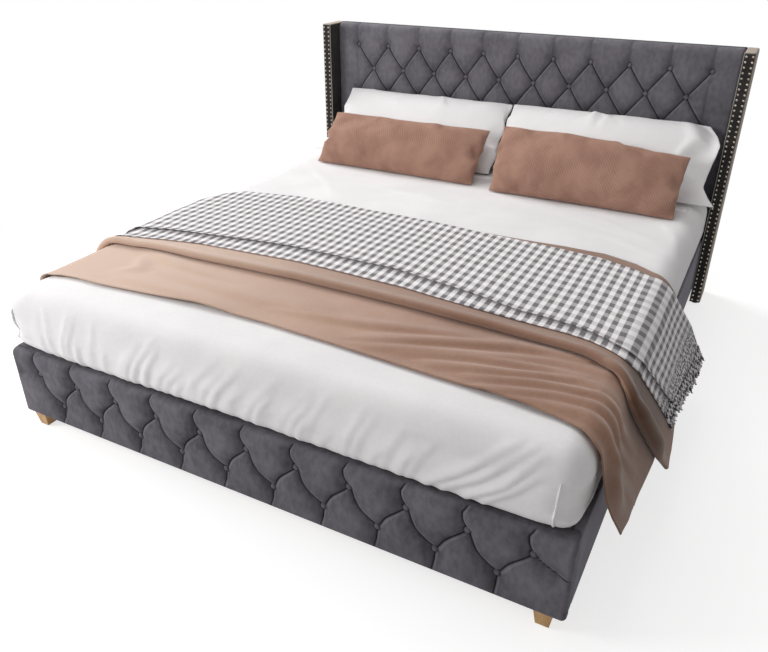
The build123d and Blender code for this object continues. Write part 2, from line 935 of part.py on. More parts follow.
def levelling_foot(index):
    """Disc and stud that screw into the plug."""
    y = centre_leg_y(index)
    disc = rod(levelling_disc_radius, levelling_disc_height, (0, y, 0), toward_z)
    disc = fillet(disc.edges().group_by(Axis.Z)[0], insert_flange / 2)
    length = insert_flange + insert_plug + levelling_travel + levelling_stud_spare
    stud = rod(levelling_stud_radius, length, (0, y, levelling_disc_height), toward_z)
    return disc + stud


# Mattress and bedding

def mattress():
    """Mattress inside its bedding."""
    body = block(-half_mattress, half_mattress, y_mattress, y_mattress_end, z_slat_top, z_mattress_top)
    return fillet(body.edges().filter_by(Axis.Z), mattress_round)


def white_bedding():
    """Puffed cover over the mattress, tucked down inside the rails."""
    half = half_mattress + bedding_side
    z0 = z_rail_top + soft_gap
    y0 = y_mattress - bedding_foot
    y1 = y_mattress_end + bedding_head
    body = block(-half, half, y0, y1, z0, z_bedding_top)
    body = fillet(body.edges().filter_by(Axis.Z).sort_by(Axis.Y)[:2], bedding_corner_round)
    body = fillet(body.edges().group_by(Axis.Z)[-1].sort_by(Axis.Y)[:-1], bedding_top_round)
    body = fillet(body.edges().group_by(Axis.Z)[0].sort_by(Axis.Y)[:-1], bedding_foot_round)
    reach = soft_gap + tuck_thickness
    tuck = block(
        -half_mattress - reach, half_mattress + reach,
        y_mattress - reach, y_mattress_end + reach, z_rail_top - tuck_depth, z_rail_top + tuck_depth,
    )
    hollow = block(
        -half_mattress - soft_gap, half_mattress + soft_gap,
        y_mattress - soft_gap, y_mattress_end + soft_gap, z_rail_top - tuck_depth - overrun,
        z_mattress_top + soft_gap,
    )
    return body + tuck - hollow


def drape_wire(y, level, drop, flare):
    """Half round of a hanging cloth's line: hem, shoulder and top, from left to right."""
    radius = bedding_top_round + level
    x_top = half_mattress + bedding_side - bedding_top_round
    z_shoulder = z_bedding_top - bedding_top_round
    bend = radius * math.sin(math.radians(45))
    hem = (x_top + radius + flare, z_shoulder - drop)
    side = (x_top + radius, z_shoulder)
    mid = (x_top + bend, z_shoulder + bend)
    top = (x_top, z_shoulder + radius)
    return [Vector(x, y, z) for x, z in (hem, side, mid, top)]


def mirrored(point):
    """The same point on the bed's other side."""
    return Vector(-point.X, point.Y, point.Z)


def drape_section(y, level, thickness, drop, flare):
    """Closed section of a cloth that lies over the bed and hangs down both sides."""
    outer = drape_wire(y, level + thickness, drop, flare)
    inner = drape_wire(y, level, drop, flare)
    inner_left = [mirrored(point) for point in inner]
    outer_left = [mirrored(point) for point in outer]
    edges = [
        Edge.make_line(outer_left[0], outer_left[1]),
        Edge.make_three_point_arc(outer_left[1], outer_left[2], outer_left[3]),
        Edge.make_line(outer_left[3], outer[3]),
        Edge.make_three_point_arc(outer[3], outer[2], outer[1]),
        Edge.make_line(outer[1], outer[0]),
        Edge.make_line(outer[0], inner[0]),
        Edge.make_line(inner[0], inner[1]),
        Edge.make_three_point_arc(inner[1], inner[2], inner[3]),
        Edge.make_line(inner[3], inner_left[3]),
        Edge.make_three_point_arc(inner_left[3], inner_left[2], inner_left[1]),
        Edge.make_line(inner_left[1], inner_left[0]),
        Edge.make_line(inner_left[0], outer_left[0]),
    ]
    return Wire(edges)


def drape(front, back, level, heights, drop, flare, shares):
    """Cloth lofted through its main folds, from front to back. heights are those of one layer and of two."""
    wires = []
    for place, fall, lean, layers in shares:
        y = y_foot + front + place * (back - front)
        wires.append(drape_section(y, level, heights[layers - 1], drop * fall, flare * lean))
    return Solid.make_loft(wires, ruled=True)


def tan_blanket():
    """Blanket folded back on itself: a long lower layer and a shorter upper one."""
    heights = (blanket_thickness, blanket_thickness + blanket_fold_thickness)
    return drape(
        blanket_front, blanket_back, soft_gap, heights, blanket_drop, blanket_flare, blanket_shares,
    )


def throw_level():
    """How far the throw lies above the bedding."""
    return 2 * soft_gap + blanket_thickness + blanket_fold_thickness


def gingham_throw():
    """Checked throw folded double, its upper layer a step back."""
    heights = (throw_thickness, 2 * throw_thickness)
    return drape(
        throw_front, throw_back, throw_level(), heights, throw_drop, throw_flare, throw_shares,
    )


def pillow_section(half_width, half_height, half_thickness, place, edge):
    """Lens section of a pillow at a share of its half width."""
    height = half_height * (1 - side_draw * (1 - place ** 2))
    full = math.sqrt(max(1 - place ** 2, 0.0))
    rise = edge / 2 + (half_thickness - edge / 2) * full
    x = half_width * place
    low = Vector(x, -height, 0)
    high = Vector(x, height, 0)
    front = Edge.make_three_point_arc(low, Vector(x, 0, rise), high)
    back = Edge.make_three_point_arc(high, Vector(x, 0, -rise), low)
    return Wire([front, back])


def pillow_form(width, height, thickness, edge):
    """Crowned pillow with sides drawn in between its corners, flat in XY."""
    wires = [
        pillow_section(width / 2, height / 2, thickness / 2, place, edge)
        for place in section_shares
    ]
    body = Solid.make_loft(wires)
    draw = width * end_draw / 2
    radius = (height ** 2 / 4 + draw ** 2) / (2 * draw)
    for side in (-1, 1):
        x = side * (width / 2 - draw + radius)
        scoop = Pos(x, 0, 0) * Cylinder(radius, 2 * thickness)
        body = body - scoop
    return body


def leaned(form, lean):
    """Stand a flat form up against the headboard: its face to the foot, its top leaning back."""
    return Rot(lean, 0, 0) * form


def seated(form, y_limit):
    """Rest a leaned form on the bedding with its back at a limit in Y."""
    box = form.bounding_box()
    return Pos(0, y_limit - box.max.Y, z_bedding_top + soft_gap - box.min.Z) * form


def leaned_pillow():
    """White pillow that leans on the headboard, at the bed's middle."""
    form = pillow_form(pillow_width, pillow_height, pillow_thickness, pillow_edge)
    return seated(leaned(form, pillow_lean), y_head_pad - soft_gap)


def leaned_cushion(pillow):
    """Lumbar cushion slid back along the bedding until it leans on the pillow."""
    form = pillow_form(cushion_width, cushion_height, cushion_thickness, cushion_edge)
    form = seated(leaned(form, cushion_lean), pillow.bounding_box().min.Y - soft_gap)
    for _ in range(slide_steps):
        form = Pos(0, form.distance_to(pillow) - soft_gap, 0) * form
    return form


def throw_fringe():
    """Twisted tassels under both hems of the throw."""
    hem_level = throw_level()
    slope = math.atan2(throw_flare, throw_drop)
    run = Vector(math.sin(slope), 0, -math.cos(slope))
    strands = []
    for index in range(fringe_count):
        share = (index + 0.5) / fringe_count
        y = y_foot + throw_front + share * (throw_back - throw_front)
        drop, flare = fringe_hem(share)
        hem = drape_wire(y, hem_level + throw_thickness, drop, flare)[0]
        x = hem.X - fringe_depth
        for side in (-1, 1):
            top = block(
                *sorted((side * x, side * (x + fringe_depth))),
                y - fringe_width / 2, y + fringe_width / 2,
                hem.Z - soft_gap - fringe_depth, hem.Z - soft_gap,
            )
            face = top.faces().sort_by(Axis.Z)[-1]
            way = Vector(side * run.X, run.Y, run.Z)
            strands.append(Solid.extrude(face, way * fringe_length))
    return group(strands)


def fringe_hem(share):
    """Drop and flare of the throw's hem at a share of its width."""
    for (p0, d0, f0, _), (p1, d1, f1, _) in zip(throw_shares, throw_shares[1:]):
        if share <= p1:
            mix = (share - p0) / (p1 - p0)
            return throw_drop * (d0 + mix * (d1 - d0)), throw_flare * (f0 + mix * (f1 - f0))
    return throw_drop * throw_shares[-1][1], throw_flare * throw_shares[-1][2]


os.makedirs("parts", exist_ok=True)

save("headboard_pad", headboard_pad())
save("headboard_buttons", tuft_buttons(head_rows(), head_pitch, y_head_pad, head_tuft_depth))
save("headboard_board", headboard_board())
save("headboard_stiles", headboard_stiles())
save("headboard_crossrails", headboard_crossrails())
save("headboard_back_cover", headboard_back_cover())
save("wing_bolts", wing_bolts())
save("wing_glides", wing_glides())
for hand, side in (("left", -1), ("right", 1)):
    save("wing_core_" + hand, wing_core(side))
    save("wing_cover_" + hand, wing_cover(side))
    save("wing_piping_" + hand, wing_piping(side))
    save("wing_nails_" + hand, wing_nails(side))
    save("rail_core_" + hand, rail_core(side))
    save("rail_cover_" + hand, rail_cover(side))
    save("slat_ledge_" + hand, slat_ledge(side))
    save("leg_" + hand, leg(side))
save("footboard_pad", footboard_pad())
save("footboard_buttons", tuft_buttons(foot_rows(), foot_pitch, y_foot, foot_tuft_depth))
save("footboard_core", footboard_core())
save("footboard_wrap", footboard_wrap())
save("leg_bolts", leg_bolts())
save("leg_glides", leg_glides())
save("corner_brackets_foot", corner_brackets(y_foot_inner, 1))
save("corner_brackets_head", corner_brackets(y_head_board, -1))
save("bracket_bolts", bracket_bolts())
save("hanger_bolts", hanger_bolts())
save("ledge_screws", ledge_screws())
save("centre_beam", centre_beam())
save("beam_hangers", beam_hangers())
save("centre_leg_bolts", centre_leg_bolts())
save("centre_leg_inserts", centre_leg_inserts())
for where, index in (("front", -1), ("middle", 0), ("rear", 1)):
    save("centre_leg_" + where, centre_leg(index))
    save("levelling_foot_" + where, levelling_foot(index))
save("slats", slats())
save("slat_straps", slat_straps())
save("mattress", mattress())
save("white_bedding", white_bedding())
save("tan_blanket", tan_blanket())
save("gingham_throw", gingham_throw())
save("throw_fringe", throw_fringe())
pillow_form_on_bed = leaned_pillow()
cushion_form_on_bed = leaned_cushion(pillow_form_on_bed)
save("pillow_left", Pos(pillow_left_x, 0, 0) * pillow_form_on_bed)
save("pillow_right", Pos(pillow_right_x, 0, 0) * pillow_form_on_bed)
save("cushion_left", Pos(cushion_left_x, 0, 0) * cushion_form_on_bed)
save("cushion_right", Pos(cushion_right_x, 0, 0) * cushion_form_on_bed)
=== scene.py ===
# %% [markdown]
# # A dressed bed with a tufted headboard
# This lesson dresses a CAD model of a bed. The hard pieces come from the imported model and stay
# where they are. Everything soft is built here, in metres, in the same frame: the origin is on the
# floor under the middle of the bed, X runs across it, Y from foot to head, Z up.

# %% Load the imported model
import json
import math

import bmesh
import bpy
import numpy as np
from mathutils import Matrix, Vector
from mathutils.bvhtree import BVHTree


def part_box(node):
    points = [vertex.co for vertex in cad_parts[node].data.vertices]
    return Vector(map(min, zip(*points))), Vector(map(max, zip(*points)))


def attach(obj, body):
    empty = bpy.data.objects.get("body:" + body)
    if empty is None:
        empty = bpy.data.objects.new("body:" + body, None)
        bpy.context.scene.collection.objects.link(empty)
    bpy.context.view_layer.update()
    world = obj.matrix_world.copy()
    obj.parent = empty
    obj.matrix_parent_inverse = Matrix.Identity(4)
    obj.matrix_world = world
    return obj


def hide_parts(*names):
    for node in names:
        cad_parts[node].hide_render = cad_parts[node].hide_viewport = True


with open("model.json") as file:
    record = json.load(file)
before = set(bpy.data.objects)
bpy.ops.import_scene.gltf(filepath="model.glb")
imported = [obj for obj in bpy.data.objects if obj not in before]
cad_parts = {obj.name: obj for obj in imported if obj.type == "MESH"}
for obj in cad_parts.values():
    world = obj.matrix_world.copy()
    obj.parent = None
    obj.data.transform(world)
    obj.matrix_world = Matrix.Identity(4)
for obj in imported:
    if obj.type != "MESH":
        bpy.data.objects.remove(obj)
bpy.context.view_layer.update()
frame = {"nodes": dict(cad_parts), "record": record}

# %% [markdown]
# ## Camera
# A camera is a lens, a place and a direction. These numbers were solved from the bed's own corners:
# the eye stands off the right foot corner, 1.5 m up, and looks down at the middle of the bed.

# %% Camera
camera_data = bpy.data.cameras.new("room_camera")
camera_data.lens = 34.59
camera_data.sensor_width = 36
camera = bpy.data.objects.new("room_camera", camera_data)
camera.location = (1.1167, -2.34575, 1.5157)
camera.rotation_euler = (math.radians(90 - 28.76), 0, math.radians(28.06))
bpy.context.scene.collection.objects.link(camera)
bpy.context.scene.camera = camera
print("camera at", tuple(camera.location))

# %% [markdown]
# ## Room
# A product photo is lit by big soft sources. A world with a steady grey gives the base level, a wide
# lamp behind the head at the left and a smaller one at the left of the foot model the forms, and a weak
# one fills from above. The world and the floor look white to the camera, and the floor still shows the bed's
# shadow.

# %% World
scene = bpy.context.scene
scene.view_settings.view_transform = "Standard"


def wire(tree, socket, value):
    """Feed a socket from another socket, or set it to a value."""
    if isinstance(value, bpy.types.NodeSocket):
        tree.links.new(value, socket)
    else:
        socket.default_value = value


def add_node(tree, kind, **values):
    """A shader node with some of its sockets fed or set."""
    node = tree.nodes.new("ShaderNode" + kind)
    for label, value in values.items():
        wire(tree, node.inputs[label.replace("_", " ")], value)
    return node


def seen_rays(tree):
    """1 for rays that show the background: the camera's, mirrored and refracted ones."""
    path = add_node(tree, "LightPath").outputs
    seen = path["Is Camera Ray"]
    for label in ("Is Glossy Ray", "Is Transmission Ray"):
        most = add_node(tree, "Math")
        most.operation = "MAXIMUM"
        wire(tree, most.inputs[0], seen)
        wire(tree, most.inputs[1], path[label])
        seen = most.outputs[0]
    return seen


world = bpy.data.worlds.new("white_room")
world.use_nodes = True
scene.world = world
tree = world.node_tree
tree.nodes.clear()
room_light = add_node(tree, "Background", Color=(1.0, 0.99, 0.985, 1), Strength=0.38)
room_white = add_node(tree, "Background", Color=(1, 1, 1, 1), Strength=1.0)
room_mix = add_node(tree, "MixShader", Fac=seen_rays(tree))
wire(tree, room_mix.inputs[1], room_light.outputs[0])
wire(tree, room_mix.inputs[2], room_white.outputs[0])
add_node(tree, "OutputWorld", Surface=room_mix.outputs[0])
print("world ready")

# %% Floor and lamps
floor_half = 9.0
floor_mesh = bpy.data.meshes.new("floor")
floor_mesh.from_pydata(
    [(x * floor_half, y * floor_half, 0) for x, y in ((-1, -1), (1, -1), (1, 1), (-1, 1))],
    [], [(0, 1, 2, 3)],
)
floor = bpy.data.objects.new("floor", floor_mesh)
scene.collection.objects.link(floor)
floor_material = bpy.data.materials.new("pale_floor")
floor_material.use_nodes = True
tree = floor_material.node_tree
tree.nodes.clear()
floor_matte = add_node(tree, "BsdfDiffuse", Color=(0.8, 0.8, 0.8, 1))
floor_shown = add_node(tree, "BsdfDiffuse", Color=(0.48, 0.48, 0.48, 1))
floor_glow, floor_far = add_node(tree, "Emission", Strength=0.7), add_node(tree, "Emission")
floor_reach = add_node(tree, "VectorMath")
floor_reach.operation = "LENGTH"
wire(tree, floor_reach.inputs[0], add_node(tree, "TexCoord").outputs["Object"])
floor_share = add_node(tree, "MapRange", Value=floor_reach.outputs["Value"], From_Min=1.4, From_Max=2.6)
floor_share.interpolation_type = "SMOOTHSTEP"
floor_sum = add_node(tree, "AddShader")
floor_fade = add_node(tree, "MixShader", Fac=floor_share.outputs[0])
floor_mix = add_node(tree, "MixShader", Fac=seen_rays(tree))
for source, target in (
    (floor_shown, floor_sum.inputs[0]), (floor_glow, floor_sum.inputs[1]),
    (floor_sum, floor_fade.inputs[1]), (floor_far, floor_fade.inputs[2]),
    (floor_matte, floor_mix.inputs[1]), (floor_fade, floor_mix.inputs[2]),
):
    wire(tree, target, source.outputs[0])
add_node(tree, "OutputMaterial", Surface=floor_mix.outputs[0])
floor_mesh.materials.append(floor_material)


def add_lamp(name, place, aim, size, power):
    """A square soft lamp at a place, turned towards a point."""
    data = bpy.data.lights.new(name, "AREA")
    data.size = size
    data.energy = power
    lamp = bpy.data.objects.new(name, data)
    lamp.location = place
    lamp.rotation_euler = (Vector(aim) - Vector(place)).to_track_quat("-Z", "Y").to_euler()
    scene.collection.objects.link(lamp)


add_lamp("window_behind", (-3.4, 2.4, 4.4), (0.0, -0.3, 0.4), 2.6, 182)
add_lamp("window_left", (-2.7, -2.6, 1.9), (0.0, -0.3, 0.5), 1.2, 68)
add_lamp("ceiling", (0.0, -0.3, 3.2), (0.0, -0.1, 0.4), 1.6, 14)
print("floor and lamps ready")

# %% [markdown]
# ## Colours and shared effects
# Colours are written as they would be read off a screen and turned into Blender's linear numbers.
# An effect that several finishes share is a node group, built once: soft patches, a plain weave,
# velvet nap with painted shade and highlights, wood grain. Each material gives the group its own values.

# %% Colour helper
def screen_colour(code):
    """Linear RGBA of a colour written as rrggbb."""
    values = [int(code[i:i + 2], 16) / 255 for i in (0, 2, 4)]
    return tuple([v / 12.92 if v <= 0.04045 else ((v + 0.055) / 1.055) ** 2.4 for v in values] + [1.0])


print("mid grey is", screen_colour("808080")[:3])


# %% Node group helpers
def start_group(name, inputs, outputs):
    """An empty shader group with named sockets, and its input and output nodes."""
    group = bpy.data.node_groups.new(name, "ShaderNodeTree")
    kinds = {"value": "NodeSocketFloat", "colour": "NodeSocketColor", "vector": "NodeSocketVector"}
    for label, kind, start in inputs:
        socket = group.interface.new_socket(name=label, in_out="INPUT", socket_type=kinds[kind])
        if start is not None:
            socket.default_value = start
    for label, kind in outputs:
        group.interface.new_socket(name=label, in_out="OUTPUT", socket_type=kinds[kind])
    return group, group.nodes.new("NodeGroupInput").outputs, group.nodes.new("NodeGroupOutput").inputs


print("group helpers ready")

# %% Small nodes
def maths(tree, operation, first, second=0.0, third=None):
    """One math node."""
    node = add_node(tree, "Math")
    node.operation = operation
    wire(tree, node.inputs[0], first)
    wire(tree, node.inputs[1], second)
    if third is not None:
        wire(tree, node.inputs[2], third)
    return node.outputs[0]


def mixed(tree, share, first, second):
    """A colour between two colours."""
    node = add_node(tree, "Mix")
    node.data_type = "RGBA"
    wire(tree, node.inputs[0], share)
    wire(tree, node.inputs[6], first)
    wire(tree, node.inputs[7], second)
    return node.outputs[2]


def noise(tree, vector, scale, detail=3.0, roughness=0.55):
    """Soft noise from 0 to 1."""
    node = add_node(tree, "TexNoise", Vector=vector, Scale=scale, Detail=detail, Roughness=roughness)
    return node.outputs["Fac"]


def stretched(tree, vector, scale):
    """A vector scaled on each axis."""
    return add_node(tree, "Mapping", Vector=vector, Scale=scale).outputs["Vector"]


def ramped(tree, value, low, high):
    """A value spread so that low becomes 0 and high becomes 1."""
    node = add_node(tree, "MapRange", Value=value, From_Min=low, From_Max=high)
    node.interpolation_type = "SMOOTHSTEP"
    return node.outputs["Result"]


def split(tree, vector):
    """X, Y and Z of a vector."""
    return add_node(tree, "SeparateXYZ", Vector=vector).outputs


print("small nodes ready")

# %% Group: soft patches
def patch_group():
    """Slow and fine variation of one colour, for any cloth, paint or wood."""
    group, ins, outs = start_group(
        "soft_patches",
        [("Vector", "vector", None), ("Light", "colour", None), ("Dark", "colour", None),
         ("Patch Scale", "value", 4.0), ("Grain Scale", "value", 90.0)],
        [("Color", "colour"), ("Mask", "value")],
    )
    slow = ramped(group, noise(group, ins["Vector"], ins["Patch Scale"], 2.0), 0.35, 0.65)
    fine = ramped(group, noise(group, ins["Vector"], ins["Grain Scale"], 3.0), 0.25, 0.75)
    mask = maths(group, "MULTIPLY_ADD", slow, 0.65, maths(group, "MULTIPLY", fine, 0.35))
    wire(group, outs["Color"], mixed(group, mask, ins["Dark"], ins["Light"]))
    wire(group, outs["Mask"], mask)
    return group


soft_patches = patch_group()
print(soft_patches.name)


# %% Group: plain weave
def weave_group():
    """Over and under threads: a height from 0 to 1. Vector is the cloth's own place in metres."""
    group, ins, outs = start_group(
        "plain_weave",
        [("Vector", "vector", None), ("Threads", "value", 900.0)],
        [("Height", "value")],
    )
    turn = maths(group, "MULTIPLY", ins["Threads"], math.tau / 2)
    parts = split(group, ins["Vector"])
    warp = maths(group, "SINE", maths(group, "MULTIPLY", parts[0], turn))
    weft = maths(group, "SINE", maths(group, "MULTIPLY", parts[1], turn))
    cross = maths(group, "MULTIPLY", warp, weft)
    wire(group, outs["Height"], maths(group, "MULTIPLY_ADD", cross, 0.5, 0.5))
    return group


plain_weave = weave_group()
print(plain_weave.name)


# %% Group: velvet nap with painted shade and highlight
def nap_group():
    """Pile that leans in patches, with painted shade in the pleats and a painted highlight on the edge of the
    fold above.
    """
    group, ins, outs = start_group(
        "velvet_nap_and_painted_light",
        [("Vector", "vector", None), ("Light", "colour", None), ("Dark", "colour", None),
         ("Deep", "colour", None), ("Crease", "value", 0.0), ("Lip", "value", 0.0)],
        [("Color", "colour"), ("Roughness", "value"), ("Height", "value")],
    )
    patches = ramped(group, noise(group, ins["Vector"], 9.0, 2.0, 0.5), 0.25, 0.75)
    strokes = ramped(group, noise(group, stretched(group, ins["Vector"], (60, 60, 38)), 1.0, 2.0), 0.25, 0.75)
    pile = noise(group, ins["Vector"], 1500.0, 1.0)
    share = maths(group, "MULTIPLY_ADD", patches, 0.35, maths(group, "MULTIPLY_ADD", strokes, 0.35, 0.02))
    # Painted highlight beside the pleats and on the crowns of the diamonds, from the value stored on the
    # mesh.
    share = maths(group, "MULTIPLY_ADD", ins["Lip"], 0.6, share)
    base = mixed(group, share, ins["Dark"], ins["Light"])
    # Painted shade: the colour turns to the shadow colour in the pleats, round the buttons and on the ends
    # turned to the back.
    wire(group, outs["Color"], mixed(group, ramped(group, ins["Crease"], 0.15, 0.9), base, ins["Deep"]))
    wire(group, outs["Roughness"], maths(group, "MULTIPLY_ADD", share, -0.12, 0.86))
    wire(group, outs["Height"],
        maths(group, "MULTIPLY_ADD", strokes, 0.6, maths(group, "MULTIPLY", pile, 0.4)))
    return group


velvet_nap_and_painted_light = nap_group()
print(velvet_nap_and_painted_light.name)


# %% Group: wood grain
def grain_group():
    """Long grain along one axis of a sawn board, with pores."""
    group, ins, outs = start_group(
        "wood_grain",
        [("Vector", "vector", None), ("Light", "colour", None), ("Dark", "colour", None),
        ("Rings", "value", 30.0)],
        [("Color", "colour"), ("Roughness", "value"), ("Height", "value")],
    )
    bend = noise(group, ins["Vector"], 3.0, 2.0)
    parts = split(group, ins["Vector"])
    line = maths(group, "ADD", parts[1], maths(group, "MULTIPLY", parts[0], 0.6))
    wave = maths(group, "SINE",
        maths(group, "MULTIPLY", maths(group, "MULTIPLY_ADD", bend, 0.35, line), ins["Rings"]))
    rings = maths(group, "MULTIPLY_ADD", wave, 0.5, 0.5)
    pores = ramped(group, noise(group, stretched(group, ins["Vector"], (60, 60, 6)), 6.0, 3.0), 0.4, 0.7)
    mask = maths(group, "MULTIPLY_ADD", rings, 0.6, maths(group, "MULTIPLY", pores, 0.4))
    wire(group, outs["Color"], mixed(group, mask, ins["Dark"], ins["Light"]))
    wire(group, outs["Roughness"], maths(group, "MULTIPLY_ADD", mask, -0.15, 0.55))
    wire(group, outs["Height"], mask)
    return group


wood_grain = grain_group()
print(wood_grain.name)


# %% [markdown]
# ## Material helpers
# Each material keeps its own Principled shader. Numbers that are the same all over, such as sheen,
# are set on the shader; what changes over the surface comes from a group. Cloth patterns read the
# attribute `cloth`, which holds each point's place on the flat, unsewn cloth in metres.

# %% Material helpers
def start_material(name, **fixed):
    """A material with a Principled shader whose plain sockets are set."""
    material = bpy.data.materials.new(name)
    material.use_nodes = True
    shader = material.node_tree.nodes["Principled BSDF"]
    for label, value in fixed.items():
        shader.inputs[label.replace("_", " ")].default_value = value
    return material, material.node_tree, shader


def placed(tree, group, **values):
    """A group placed in a material, with its sockets fed or set. A string is the code of a colour."""
    node = add_node(tree, "Group")
    node.node_tree = group
    for label, value in values.items():
        value = screen_colour(value) if isinstance(value, str) else value
        wire(tree, node.inputs[label.replace("_", " ")], value)
    return node.outputs


def own_place(tree):
    """Each point's place in the bed's frame."""
    return add_node(tree, "TexCoord").outputs["Object"]


def attribute(tree, name, output="Fac"):
    """A value or vector stored on the mesh."""
    node = add_node(tree, "Attribute")
    node.attribute_name = name
    return node.outputs[output]


def raised(tree, shader, height, distance, strength=1.0):
    """Feed a height to the shader's normal."""
    node = add_node(tree, "Bump", Distance=distance, Strength=strength, Height=height)
    wire(tree, shader.inputs["Normal"], node.outputs["Normal"])


print("material helpers ready")

# %% [markdown]
# ## Velvet
# The headboard, footboard, rails and wings are covered in short-pile velvet. Its colour changes with
# the lean of the pile. It could be painted by hand; here noise leans it in patches, and values stored
# on the mesh paint shade into the pleats and a highlight on the edge of the fold above them.

# %% Velvet
def velvet(name, light, dark, shadow_colour, tufted=True, highlight_colour=None):
    """Short-pile upholstery velvet, with painted shade in the pleats and painted highlights beside them.
    Where a highlight is painted on the wings, a stored attribute says how much.
    """
    material, tree, shader = start_material(
        name, Sheen_Weight=0.35, Sheen_Roughness=0.35, Specular_IOR_Level=0.25,
    )
    shader.inputs["Sheen Tint"].default_value = screen_colour("9a9aa4")
    # Values stored on the mesh: painted shade in the pleats and a painted highlight beside them.
    painted_shade = attribute(tree, "painted_shade") if tufted else 0.0
    lip = attribute(tree, "lip") if tufted else 0.0
    nap_and_painted_light = placed(
        tree, velvet_nap_and_painted_light, Vector=own_place(tree), Light=light, Dark=dark, Deep=shadow_colour, Crease=painted_shade, Lip=lip,
    )
    colour = nap_and_painted_light["Color"]
    # Painted highlight: the wing's top and outer edge are lightened where they catch the light.
    if highlight_colour:
        colour = mixed(tree, attribute(tree, "painted_light"), colour, screen_colour(highlight_colour))
    wire(tree, shader.inputs["Base Color"], colour)
    wire(tree, shader.inputs["Roughness"], nap_and_painted_light["Roughness"])
    raised(tree, shader, nap_and_painted_light["Height"], 0.0006, 0.5)
    return material


# The last colour of each tufted velvet is the painted shade in its pleats.
headboard_velvet = velvet("headboard_velvet", "77747b", "504d53", "242226")
footboard_velvet = velvet("footboard_velvet", "6f6c73", "403d42", "131214")
rail_velvet = velvet("rail_velvet", "77747a", "64616a", "2a292c", tufted=False)
# The wing's last colour is a painted highlight where its top and outer edge catch the light.
wing_velvet = velvet("wing_velvet", "3a3633", "232120", "161514", tufted=False, highlight_colour="b3a698")
print("velvets ready")


# %% [markdown]
# ## Plain cloths
# Cotton, ticking, wool and webbing are all woven, so one function makes them with their own colours
# and thread counts. The wool blanket is brushed too, and light and shade are painted into its colour:
# paler towards the window, darker where it is turned over or hangs, which two attributes of its mesh say.

# %% Plain cloths
def plain_cloth(name, light, dark, threads, weave_depth, sheen=0.1, nap_and_painted_light=None):
    """Woven cloth in one colour with soft patches and a fine weave."""
    material, tree, shader = start_material(name, Sheen_Weight=sheen, Roughness=0.85, Specular_IOR_Level=0.2)
    patches = placed(tree, soft_patches, Vector=own_place(tree), Light=light, Dark=dark)
    weave = placed(tree, plain_weave, Vector=attribute(tree, "cloth", "Vector"), Threads=threads)
    colour = patches["Color"]
    # Painted light and shade: paler towards the window, darker where the cloth is turned over or hangs.
    if nap_and_painted_light:
        colour = mixed(tree, attribute(tree, "painted_light"), colour, screen_colour(nap_and_painted_light[0]))
        colour = mixed(tree, attribute(tree, "nap_and_painted_light"), colour, screen_colour(nap_and_painted_light[1]))
    wire(tree, shader.inputs["Base Color"], colour)
    raised(tree, shader, weave["Height"], weave_depth, 0.4)
    return material


white_cotton = plain_cloth("white_cotton", "eceaea", "e3e1e2", 1400.0, 0.0002)
pillow_cotton = plain_cloth("pillow_cotton", "faf9f9", "f4f3f3", 1400.0, 0.0002)
# The wool's last two colours are its painted light and its painted shade.
tan_wool = plain_cloth("tan_wool", "b18d79", "9c7763", 700.0, 0.0004, sheen=0.34, nap_and_painted_light=("c9ae9c", "49301f"))
ticking = plain_cloth("ticking", "efeeec", "e6e4e1", 500.0, 0.0004)
dust_cloth = plain_cloth("dust_cloth", "232324", "19191a", 500.0, 0.0003)
webbing = plain_cloth("webbing", "262626", "161616", 420.0, 0.0006)
welt_cloth = plain_cloth("welt_cloth", "a5a09a", "8b8681", 900.0, 0.0002)
print("plain cloths ready")


# %% [markdown]
# ## Checked cloth
# A gingham is woven from two colours of yarn, and each crossing of two stripes is darkest. Stripes
# worked out on the flat cloth stay sharp and bend with every fold, which a flat picture would not.
# Towards the cut ends the weave opens into dark and white specks.

# %% Checked cloth
def check_group():
    """Woven checks: each crossing of two stripes is darkest. Sizes are in metres of cloth."""
    group, ins, outs = start_group(
        "woven_checks",
        [("Vector", "vector", None), ("Repeat Across", "value", 0.033), ("Repeat Along", "value", 0.048),
         ("White", "colour", None), ("Pale", "colour", None), ("Grey", "colour", None),
         ("Dark", "colour", None)],
        [("Color", "colour"), ("Height", "value")],
    )
    wobble = maths(group, "MULTIPLY_ADD", noise(group, ins["Vector"], 260.0, 2.0), 0.004, -0.002)
    parts = split(group, ins["Vector"])
    stripes = []
    for part, repeat in ((parts[0], ins["Repeat Across"]), (parts[1], ins["Repeat Along"])):
        turn = maths(group, "DIVIDE", maths(group, "ADD", part, wobble), repeat)
        wave = maths(group, "SINE", maths(group, "MULTIPLY", turn, math.tau))
        stripes.append(ramped(group, wave, -0.22, 0.22))
    light = mixed(group, stripes[1], ins["White"], ins["Pale"])
    strong = mixed(group, stripes[1], ins["Grey"], ins["Dark"])
    fleck = ramped(group, noise(group, ins["Vector"], 900.0, 2.0), 0.3, 0.7)
    base = mixed(group, stripes[0], light, strong)
    shade = maths(group, "MULTIPLY_ADD", fleck, 0.12, 0.0)
    cloth = mixed(group, shade, base, ins["White"])
    speck = ramped(group, noise(group, stretched(group, ins["Vector"], (1.0, 0.6, 1.0)), 120.0, 1.0),
        0.47, 0.53)
    loose = mixed(group, speck, (0.012, 0.011, 0.012, 1.0), (0.72, 0.7, 0.71, 1.0))
    edge = maths(group, "MULTIPLY", ramped(group, maths(group, "ABSOLUTE", parts[0]), 1.03, 1.13), 0.8)
    wire(group, outs["Color"], mixed(group, edge, cloth, loose))
    wire(group, outs["Height"], fleck)
    return group


woven_checks = check_group()


